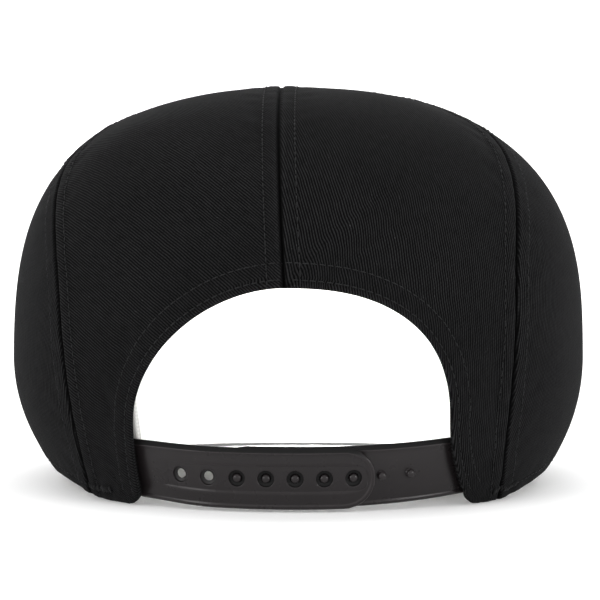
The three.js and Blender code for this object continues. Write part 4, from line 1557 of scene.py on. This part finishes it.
_ruler_x = np.linspace(-90, 90, 1801)
_ruler_points = back_at(_ruler_x, strap_middle(_ruler_x))
_ruler_run = np.concatenate([[0], np.cumsum(length(np.diff(_ruler_points, axis=0)))])
_ruler_run = _ruler_run - np.interp(0, _ruler_x, _ruler_run)


def run_of(x):
    """Length along the strap's middle line from the cap's middle to x."""
    return np.interp(x, _ruler_x, _ruler_run)


def on_strap(run, level, rise, depth):
    """Point at a length along the strap, a level above its middle line and a rise above its face."""
    x = np.interp(run, _ruler_run, _ruler_x)
    surface = back_at(x, strap_middle(x) + level)
    return surface - crown_normal(surface) * (depth(x) - rise)[..., None]


def strap_sheet(from_x, tip_x, holes, depth, bead, track):
    """Points, faces and edge marks of one strap half, as flat coordinates carried onto the crown: marks above
    0 are rubbed rims, marks below 0 are painted shade.

    A middle strip holds square cells, each with rings that go from its sides down a stepped hole and
    out again underneath. Rings round the strip run out to the rim, over its bead and back below.
    """
    way = np.sign(tip_x - from_x)
    start, tip = run_of(from_x), run_of(tip_x)
    radius = STRAP_HEIGHT / 2
    total = abs(tip - start)
    local = [abs(float(run_of(x)) - start) for x in holes]
    first, cell = SHEET_START, CELL_SIDE
    if holes:
        pitch = np.mean(np.diff(local))
        between = [(a + b) / 2 for a, b in zip(local, local[1:])]
        bounds = [local[0] - pitch / 2] + between + [local[-1] + pitch / 2]
        plain_end = bounds[0]
    else:
        bounds, plain_end = [], total - PLAIN_TIP
    parts_points, parts_faces, parts_edge = [], [], []
    count = 0

    def add(s, t, h, faces, edge):
        nonlocal count
        run = start + way * s
        points = on_strap(run.ravel(), t.ravel(), h.ravel(), depth)
        parts_points.append(points)
        parts_faces.append(faces + count)
        parts_edge.append(np.broadcast_to(edge, s.shape).ravel())
        count += points.shape[0]

    def floor_of(s):
        if not holes:
            return np.zeros_like(s)
        begin = local[0] - TRACK_LEAD
        return -track * ease(s, begin - 2.0, begin + 2.0)

    def tip_round(s, t):
        """Rounds the last cell's far corners: its side becomes a superellipse quarter above and below."""
        if not holes:
            return s, t
        u, v = np.maximum(s - local[-1], 0) / (bounds[-1] - local[-1]), t / TRACK_HALF
        value = np.maximum(u ** TIP_POWER + np.abs(v) ** TIP_POWER, TINY)
        pull = np.where(u > 0, value ** (-1 / TIP_POWER), 1.0)
        return np.where(u > 0, local[-1] + (s - local[-1]) * pull, s), t * pull

    # Plain part of the middle strip, its outer and inner sheets
    columns = max(int(round((plain_end - first) / 1.1)), 1)
    s = np.linspace(first, plain_end, columns + 1)[:, None] + np.zeros((1, cell + 1))
    t = np.linspace(-TRACK_HALF, TRACK_HALF, cell + 1)[None] + np.zeros((columns + 1, 1))
    faces = grid_faces(columns + 1, cell + 1)
    add(s, t, floor_of(s), faces, 0.0)
    add(s, t, np.full(s.shape, -STRAP_WALL), faces[:, ::-1], 0.0)

    # Cells: rings from the cell's sides into the hole and back out under the strap
    corners = np.array([(-1, -1), (1, -1), (1, 1), (-1, 1), (-1, -1)], float)
    square = np.concatenate([np.linspace(a, b, cell + 1)[:-1] for a, b in zip(corners, corners[1:])])
    lip, hole, depth_in = RECESS_RADIUS, HOLE_RADIUS, -RECESS_DEPTH
    # Each ring's reach, below 1 as a share of the way from the cell's sides, its height and edge mark; marks
    # below 0 paint shade on the recess's walls and floor and down the hole
    steps = [
        (None, 0.0, 0.0), (0.35, 0.0, 0.0), (0.7, 0.0, 0.0), (lip + 0.2, 0.0, 0.0),
        (lip + 0.1, -0.02, 0.5), (lip, -0.11, 0.3), (lip - 0.03, -0.3, -0.8),
        (lip - 0.05, depth_in + 0.12, -1.0), (lip - 0.14, depth_in, -1.0), (hole + 0.2, depth_in, -1.0),
        (hole + 0.05, depth_in - 0.05, -0.8), (hole, depth_in - 0.18, -1.0),
        (hole, -STRAP_WALL + track + 0.1, -1.0), (hole + 0.1, -STRAP_WALL + track, 0.0),
    ]
    for index, middle in enumerate(local):
        low, high = bounds[index], bounds[index + 1]
        side_s = np.where(square[:, 0] > 0, high - middle, middle - low)
        outline_s, outline_t = tip_round(middle + square[:, 0] * side_s, square[:, 1] * TRACK_HALF)
        outline = np.stack([outline_s - middle, outline_t], -1)
        # The free holes keep less of the rub and less of the painted shade
        open_hole = FREE_HOLE_MARK if index < FREE_HOLES else 1.0
        angle = np.arctan2(outline[:, 1], outline[:, 0])
        circle = np.stack([np.cos(angle), np.sin(angle)], -1)
        rings, rises, marks = [], [], []
        for reach, rise, mark in steps:
            if reach is None:
                ring = outline
            elif reach < 1:
                ring = lerp(outline, circle * (lip + RECESS_RIM), reach)
            else:
                ring = circle * reach
            rings.append(ring)
            rises.append(-track + rise)
            marks.append(mark * open_hole)
        rings.append(outline)
        rises.append(-STRAP_WALL)
        marks.append(0.0)
        ring = np.stack(rings)
        rise = np.broadcast_to(np.array(rises)[:, None], ring.shape[:2])
        mark = np.broadcast_to(np.array(marks)[:, None], ring.shape[:2])
        add(middle + ring[..., 0], ring[..., 1], rise, grid_faces(len(rings), len(square), wrap=True), mark)

    # Rings round the strip, out to the rim, over its bead and back below
    s_side = [np.linspace(first, plain_end, columns + 1)]
    for low, high in zip(bounds, bounds[1:]):
        s_side.append(np.linspace(low, high, cell + 1)[1:])
    s_side = np.concatenate(s_side)
    t_side = np.linspace(-TRACK_HALF, TRACK_HALF, cell + 1)
    inner_loop = np.concatenate([
        np.stack([s_side, np.full(len(s_side), TRACK_HALF)], -1)[:-1],
        np.stack([np.full(cell + 1, s_side[-1]), t_side[::-1]], -1)[:-1],
        np.stack([s_side[::-1], np.full(len(s_side), -TRACK_HALF)], -1)[:-1],
        np.stack([np.full(cell + 1, first), t_side], -1)[:-1],
    ])
    inner_loop = np.stack(tip_round(inner_loop[:, 0], inner_loop[:, 1]), -1)
    s, t = inner_loop.T
    nothing = np.zeros(len(inner_loop))
    disc = np.array([total - radius, 0])
    on_arc = (s > disc[0])[:, None]
    at_start = (np.abs(s - first) < SAME_PLACE)[:, None]
    corner = at_start & (np.abs(np.abs(t) - TRACK_HALF) < SAME_PLACE)[:, None]
    sideways, backward = np.stack([nothing, np.sign(t)], -1), np.stack([nothing - 1, nothing], -1)
    normal = np.where(on_arc, unit(inner_loop - disc), sideways)
    rim = np.where(on_arc, disc + normal * radius, np.stack([s, np.sign(t) * radius], -1))
    rim = np.where(at_start, np.stack([nothing, t / TRACK_HALF * radius], -1), rim)
    normal = np.where(at_start, backward, normal)
    normal = np.where(corner, unit(backward + sideways), normal)
    inset = rim - normal * RIM_INSET
    sunk = floor_of(s)
    rings, rises, marks = [inner_loop], [sunk], [nothing]
    for share, lift, mark in TRACK_RINGS:
        rings.append(lerp(inner_loop, inset, share))
        rises.append(sunk * (1 - lift))
        marks.append(nothing + mark * np.minimum(-sunk / max(track, TINY), 1))
    upper = ease(normal[:, 1], 0.6, 0.95)
    for back, rise, mark, top_rise, top_mark in RIM_RINGS:
        rings.append(rim - normal * back)
        rises.append(bead * lerp(rise, top_rise, upper))
        marks.append(lerp(mark, top_mark, upper))
    # Under the rim the edge mark of -0.6 paints shade
    for back, rise in UNDER_RINGS:
        rings.append(rim - normal * back)
        rises.append(nothing + rise)
        marks.append(nothing - 0.6)
    rings.append(inner_loop)
    rises.append(nothing - STRAP_WALL)
    marks.append(nothing)
    ring, rise, mark = np.stack(rings), np.stack(rises), np.stack(marks)
    add(ring[..., 0], ring[..., 1], rise, grid_faces(len(rings), len(inner_loop), wrap=True), mark)
    return np.concatenate(parts_points), np.concatenate(parts_faces), np.concatenate(parts_edge)


def outward(piece):
    """Turns every face of a closed piece outwards."""
    work = bmesh.new()
    work.from_mesh(piece.data)
    bmesh.ops.recalc_face_normals(work, faces=work.faces)
    work.to_mesh(piece.data)
    work.free()


class CAP_OT_strap(bpy.types.Operator):
    """Moulds the two halves of the snap strap"""

    bl_idname = "cap.strap"
    bl_label = "Snap strap"

    def execute(self, context):
        sizes = context.scene.cap_strap
        plastic = plastic_material("strap_plastic", sizes.colour)
        bead, track = sizes.bead / METRE, sizes.track / METRE
        holes = [snap_x(index) for index in range(SNAP_COUNT)]
        points, faces, edge = strap_sheet(LEFT_TAB_X, holes[-1] - STRAP_TIP, holes, holes_depth, bead, track)
        piece = build("strap_half_with_holes", points, faces, plastic, marks={"edge": edge}, merge=0.001)
        outward(piece)
        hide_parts("strap_with_holes")
        points, faces, edge = strap_sheet(
            RIGHT_TAB_X, snap_x(FREE_HOLES) + STRAP_TIP, [], pegs_depth, bead, track,
        )
        peg_sets = [faces]
        tall = CLEARANCE + STRAP_WALL + PEG_PROUD
        profile = [
            (0.0, -0.7), (PEG_RADIUS + 0.45, -0.7), (PEG_RADIUS + 0.3, 0.05), (PEG_RADIUS + 0.08, 0.22),
            (PEG_RADIUS, 0.5), (PEG_RADIUS, tall - PEG_HEAD * 0.9), (PEG_HEAD * 0.97, tall - PEG_HEAD * 0.72),
        ]
        profile += [
            (PEG_HEAD * math.cos(a), tall - PEG_HEAD * 0.6 + PEG_HEAD * 0.6 * math.sin(a))
            for a in np.linspace(0.12, math.pi / 2 - 0.18, 7)
        ] + [(0.0, tall)]
        for index in range(FREE_HOLES, FREE_HOLES + SNAP_COUNT):
            x = np.float64(snap_x(index))
            surface = back_at(x, strap_middle(x))
            normal = crown_normal(surface[None])[0]
            peg_points, quads, caps = lathe(profile, surface - normal * STRAP_DEPTH, normal, 28)
            peg_sets += [quads + len(points), caps + len(points)]
            points = np.concatenate([points, peg_points])
            edge = np.concatenate([edge, np.full(len(peg_points), 0.25)])
        piece = build("strap_half_with_pegs", points, peg_sets, plastic, marks={"edge": edge}, merge=0.001)
        outward(piece)
        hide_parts("strap_with_pegs")
        return {"FINISHED"}


# ---- Sewing ----

# Distance between the needle holes that the laid threads follow
LAID_PITCH = 3.0
PEAK_ROW_SINK = 0.32
TACKS = 15


def lifted(path, rise):
    """Path points raised over the sewn cloth."""
    relief, _, _ = crown_relief(path, list(SEAMS), True, LAID_PITCH)
    return path + crown_normal(path) * (relief + rise)[..., None]


class CAP_OT_stitches(bpy.types.Operator):
    """Sews the rows of stitches on the crown and the peak"""

    bl_idname = "cap.stitches"
    bl_label = "Stitches"

    def execute(self, context):
        sizes = context.scene.cap_stitch
        pitch, gap, radius = sizes.pitch / METRE, sizes.gap / METRE, sizes.thread / METRE / 2
        thread = thread_material("black_thread", tuple(sizes.colour))
        draw = np.random.RandomState(23)
        starts, ends = [], []

        def row(path):
            a, b = row_ends(path, pitch, gap, draw)
            starts.append(a)
            ends.append(b)

        for name, curve in SEAMS.items():
            away = length(curve - BUTTON)
            shown = curve[away > BUTTON_RADIUS + 2.2]
            if name != "back":
                shown = shown[:-1]
            for side in (-1, 1):
                row(offset_path(shown, SEAM_ROW, side))
        left, right = (arch_edge(side, corner_rows=1)[:-1] for side in (1, -1))
        edge = resampled(np.concatenate([left[::-1], right[1:]]), 1.0)
        edge = back_at(edge[:, 0], edge[:, 1])
        for distance in arch_rows(edge[:, 2]):
            row(offset_path(edge, distance[:, None], self.outer_side(edge)))
        hem_turn = np.linspace(heel_turn(1) + 3.0, 360 + heel_turn(-1) - 3.0, 500)
        row(offset_path(hem_at(hem_turn), HEM_ROW, self.inner_side(hem_at(hem_turn))))
        start, end = np.concatenate(starts), np.concatenate(ends)
        points, quads, caps, uv = self.laid(start, end, radius, 0.1)
        tack_points, tack_quads, tack_caps, tack_uv = self.bartacks(radius * 1.15, draw)
        offset = len(points)
        piece = build(
            "crown_stitches", np.concatenate([points, tack_points]),
            [quads, caps, tack_quads + offset, tack_caps + offset], thread, np.concatenate([uv, tack_uv]),
        )
        self.sew_peak(pitch, gap, radius, thread, draw)
        return {"FINISHED"}

    @staticmethod
    def inner_side(curve):
        """Which side of a curve on the crown is nearer its top: 1 or -1."""
        normal = crown_normal(curve[:2])[0]
        across = np.cross(normal, unit(curve[1] - curve[0]))
        return 1 if across[2] > 0 else -1

    @staticmethod
    def outer_side(curve):
        """Which side of the arch's edge the cloth is on: 1 or -1, from the edge's highest point."""
        top = curve[:, 2].argmax()
        across = np.cross(crown_normal(curve[top:top + 1])[0], unit(curve[top + 1] - curve[top]))
        return 1 if across[2] > 0 else -1

    @staticmethod
    def laid(start, end, radius, rise):
        """Stitches laid on the sewn crown."""
        a, b = lifted(start, rise), lifted(end, rise)
        return stitch_mesh(a, b, crown_normal((start + end) / 2), radius)

    def bartacks(self, radius, draw):
        """Short zigzags that hold the strap's tabs in the hem, beside the arch."""
        starts, ends = [], []
        for side, spread in ((1, 8.5), (-1, 9.0)):
            heel = heel_turn(side)
            turn = heel + side * np.linspace(3.4, 3.4 + spread, TACKS)
            curve = hem_at(turn)
            way = self.inner_side(curve)
            low = offset_path(curve, HEM_ROW - 1.0, way)
            high = offset_path(curve, HEM_ROW + 1.0, way)
            low, high = (
                line[np.linspace(0, len(line) - 1, TACKS).round().astype(int)] for line in (low, high)
            )
            starts += [low, high[:-1]]
            ends += [high, low[1:]]
        start, end = np.concatenate(starts), np.concatenate(ends)
        start = start + draw.uniform(-0.3, 0.3, start.shape)
        return self.laid(start, end, radius, 0.16)

    @staticmethod
    def sew_peak(pitch, gap, radius, thread, draw):
        """Rows on both faces of the peak, each at its own distance from the rim."""
        root, rim = peak_lines(520)
        run = length((rim - root)[:, :2])
        starts, ends, ups = [], [], []
        for distance in PEAK_ROWS:
            held = np.nonzero(run > distance + 2.0)[0]
            if len(held) < 10:
                continue
            path = lerp(rim[held], root[held], (distance / run[held])[:, None])
            path = resampled(path, 0.8)
            for up in (1, -1):
                level = path + np.array([0, 0, -PEAK_ROW_SINK if up > 0 else -PEAK_WALL + PEAK_ROW_SINK])
                a, b = row_ends(level, pitch, gap, draw)
                starts.append(a)
                ends.append(b)
                ups.append(np.broadcast_to(np.array([0, 0, float(up)]), a.shape))
        start, end, up = np.concatenate(starts), np.concatenate(ends), np.concatenate(ups)
        points, quads, caps, uv = stitch_mesh(start, end, up, radius)
        piece = build("peak_stitches", points, [quads, caps], thread, uv)


# ---- Studio ----

# Soft boxes: name, place, aim, width, height, the setting with their strength, and spread in degrees
SOFT_BOXES = (
    ("top_light", (0.0, 0.25, 1.25), (0, 0.0, 0.05), 1.5, 1.5, "key", 180),
    ("left_light", (0.98, 0.79, 0.16), (0, 0.1, 0.03), 0.5, 0.3, "side", 180),
    ("right_light", (-0.98, 0.79, 0.16), (0, 0.1, 0.03), 0.5, 0.3, "side", 180),
    ("camera_light", (0.0, 1.3, 0.5), (0, 0, 0.05), 1.2, 0.5, "fill", 180),
    ("inner_light", (0.0, 0.055, 0.088), (0, -0.06, 0.02), 0.08, 0.03, "inner", 60),
    ("wall_light", (0.0, -0.5, 1.9), (0, -2.3, 0.6), 3.0, 0.6, "wall", 180),
)
# Puts the round under the crown, where the floor doesn't glow, at the origin with a radius of 1
UNDER_CROWN = {"Location": (0.0, -0.6, 0.0), "Scale": (13.0, 15.0, 1.0)}


class CAP_OT_studio(bpy.types.Operator):
    """Sets the floor, the lights and the camera"""

    bl_idname = "cap.studio"
    bl_label = "Studio"

    def execute(self, context):
        sizes = context.scene.cap_studio
        self.sweep(sizes)
        world = bpy.data.worlds.new("studio_surround")
        context.scene.world = world
        world.use_nodes = True
        world.node_tree.nodes["Background"].inputs["Color"].default_value = (1, 1, 1, 1)
        world.node_tree.nodes["Background"].inputs["Strength"].default_value = sizes.sky
        for name, at, to, width, height, strength, spread in SOFT_BOXES:
            self.light(name, at, to, width, height, getattr(sizes, strength), spread)
        camera_data = bpy.data.cameras.new("camera")
        camera_data.sensor_width = 36.0
        camera_data.lens = 36.0 * sizes.focal_pixels / 600
        camera_data.clip_start, camera_data.clip_end = 0.02, 30.0
        camera = bpy.data.objects.new("camera", camera_data)
        strap = back_at(np.float64(0.0), np.float64(STRAP_HEIGHT / 2))
        strap_y = float(strap[1] - STRAP_DEPTH + SHIFT[1]) * METRE
        camera.location = (-0.0003, strap_y + sizes.distance, sizes.height)
        camera.rotation_euler = (math.pi / 2 - sizes.pitch_down, 0, math.pi)
        context.scene.collection.objects.link(camera)
        context.scene.camera = camera
        context.scene.view_settings.view_transform = "Standard"
        return {"FINISHED"}

    @staticmethod
    def sweep(sizes):
        """Pale paper, lit from below but for a round under the crown: a profile carried sideways."""
        bend, back, front, wall = 0.9, -1.6, 2.6, 2.4
        angle = np.linspace(0, np.pi / 2, 24)
        y = np.concatenate([[front], back - bend * np.sin(angle), [back - bend]])
        z = np.concatenate([[0.0], bend * (1 - np.cos(angle)), [wall]])
        x = np.linspace(-3.2, 3.2, 9)
        points = np.stack(np.broadcast_arrays(x[None], y[:, None], z[:, None]), -1).reshape(-1, 3)
        mesh = bpy.data.meshes.new("floor")
        mesh.from_pydata(points.tolist(), [], grid_faces(len(y), len(x)).tolist())
        mesh.polygons.foreach_set("use_smooth", np.ones(len(mesh.polygons), bool))
        material, tree, shader = new_material(
            "pale_paper", Roughness=0.9, Specular_IOR_Level=0.1, Emission_Strength=0.2,
        )
        place = node(tree, "ShaderNodeTexCoord").outputs["Object"]
        grain = ranged(tree, noise(tree, place, 900.0, 2.0), 0.3, 0.7, 0.99, 1.01)
        tree.links.new(shade(tree, sizes.floor, grain), shader.inputs["Base Color"])
        under = node(tree, "ShaderNodeMapping", {"Vector": place, **UNDER_CROWN}).outputs[0]
        away = node(tree, "ShaderNodeVectorMath", {0: under}, operation="LENGTH").outputs["Value"]
        lit = ranged(tree, away, 0.85, 1.05)
        tree.links.new(shade(tree, sizes.floor, lit), shader.inputs["Emission Color"])
        mesh.materials.append(material)
        floor = bpy.data.objects.new("floor", mesh)
        bpy.context.scene.collection.objects.link(floor)

    @staticmethod
    def light(name, at, to, width, height, power, spread):
        """A soft box that faces a point, with its spread in degrees."""
        data = bpy.data.lights.new(name, "AREA")
        data.shape = "RECTANGLE"
        data.size, data.size_y, data.energy = width, height, power
        data.spread = math.radians(spread)
        lamp = bpy.data.objects.new(name, data)
        back = unit(np.array(at) - np.array(to))
        right = unit(np.cross([0, 0, 1.0], back)) if abs(back[2]) < 0.99 else np.array([1.0, 0, 0])
        up = np.cross(back, right)
        lamp.matrix_world = Matrix([[right[k], up[k], back[k], at[k]] for k in range(3)] + [[0, 0, 0, 1]])
        bpy.context.scene.collection.objects.link(lamp)


OPERATORS = (
    CAP_OT_crown, CAP_OT_facing, CAP_OT_lining, CAP_OT_button, CAP_OT_peak, CAP_OT_strap, CAP_OT_stitches,
    CAP_OT_studio,
)


class CAP_PT_panel(bpy.types.Panel):
    """The cap's sizes and the steps that make it"""

    bl_idname = "CAP_PT_panel"
    bl_label = "Five panel cap"
    bl_space_type = "VIEW_3D"
    bl_region_type = "UI"
    bl_category = "Cap"

    def draw(self, context):
        for group_name in SETTINGS:
            box = self.layout.box()
            settings = getattr(context.scene, group_name)
            for key in settings.__annotations__:
                box.prop(settings, key)
        for operator in OPERATORS:
            self.layout.operator(operator.bl_idname)


SETTINGS = {
    "cap_cloth": CapClothSettings,
    "cap_stitch": CapStitchSettings,
    "cap_strap": CapStrapSettings,
    "cap_studio": CapStudioSettings,
}
CLASSES = tuple(SETTINGS.values()) + OPERATORS + (CAP_PT_panel,)


def register():
    for made in CLASSES:
        bpy.utils.register_class(made)
    for name, made in SETTINGS.items():
        setattr(bpy.types.Scene, name, bpy.props.PointerProperty(type=made))


def unregister():
    for name in SETTINGS:
        delattr(bpy.types.Scene, name)
    for made in reversed(CLASSES):
        bpy.utils.unregister_class(made)


def main():
    """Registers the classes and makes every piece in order."""
    register()
    for operator in OPERATORS:
        getattr(bpy.ops.cap, operator.bl_idname.split(".")[1])()


if __name__ == "__main__":
    main()
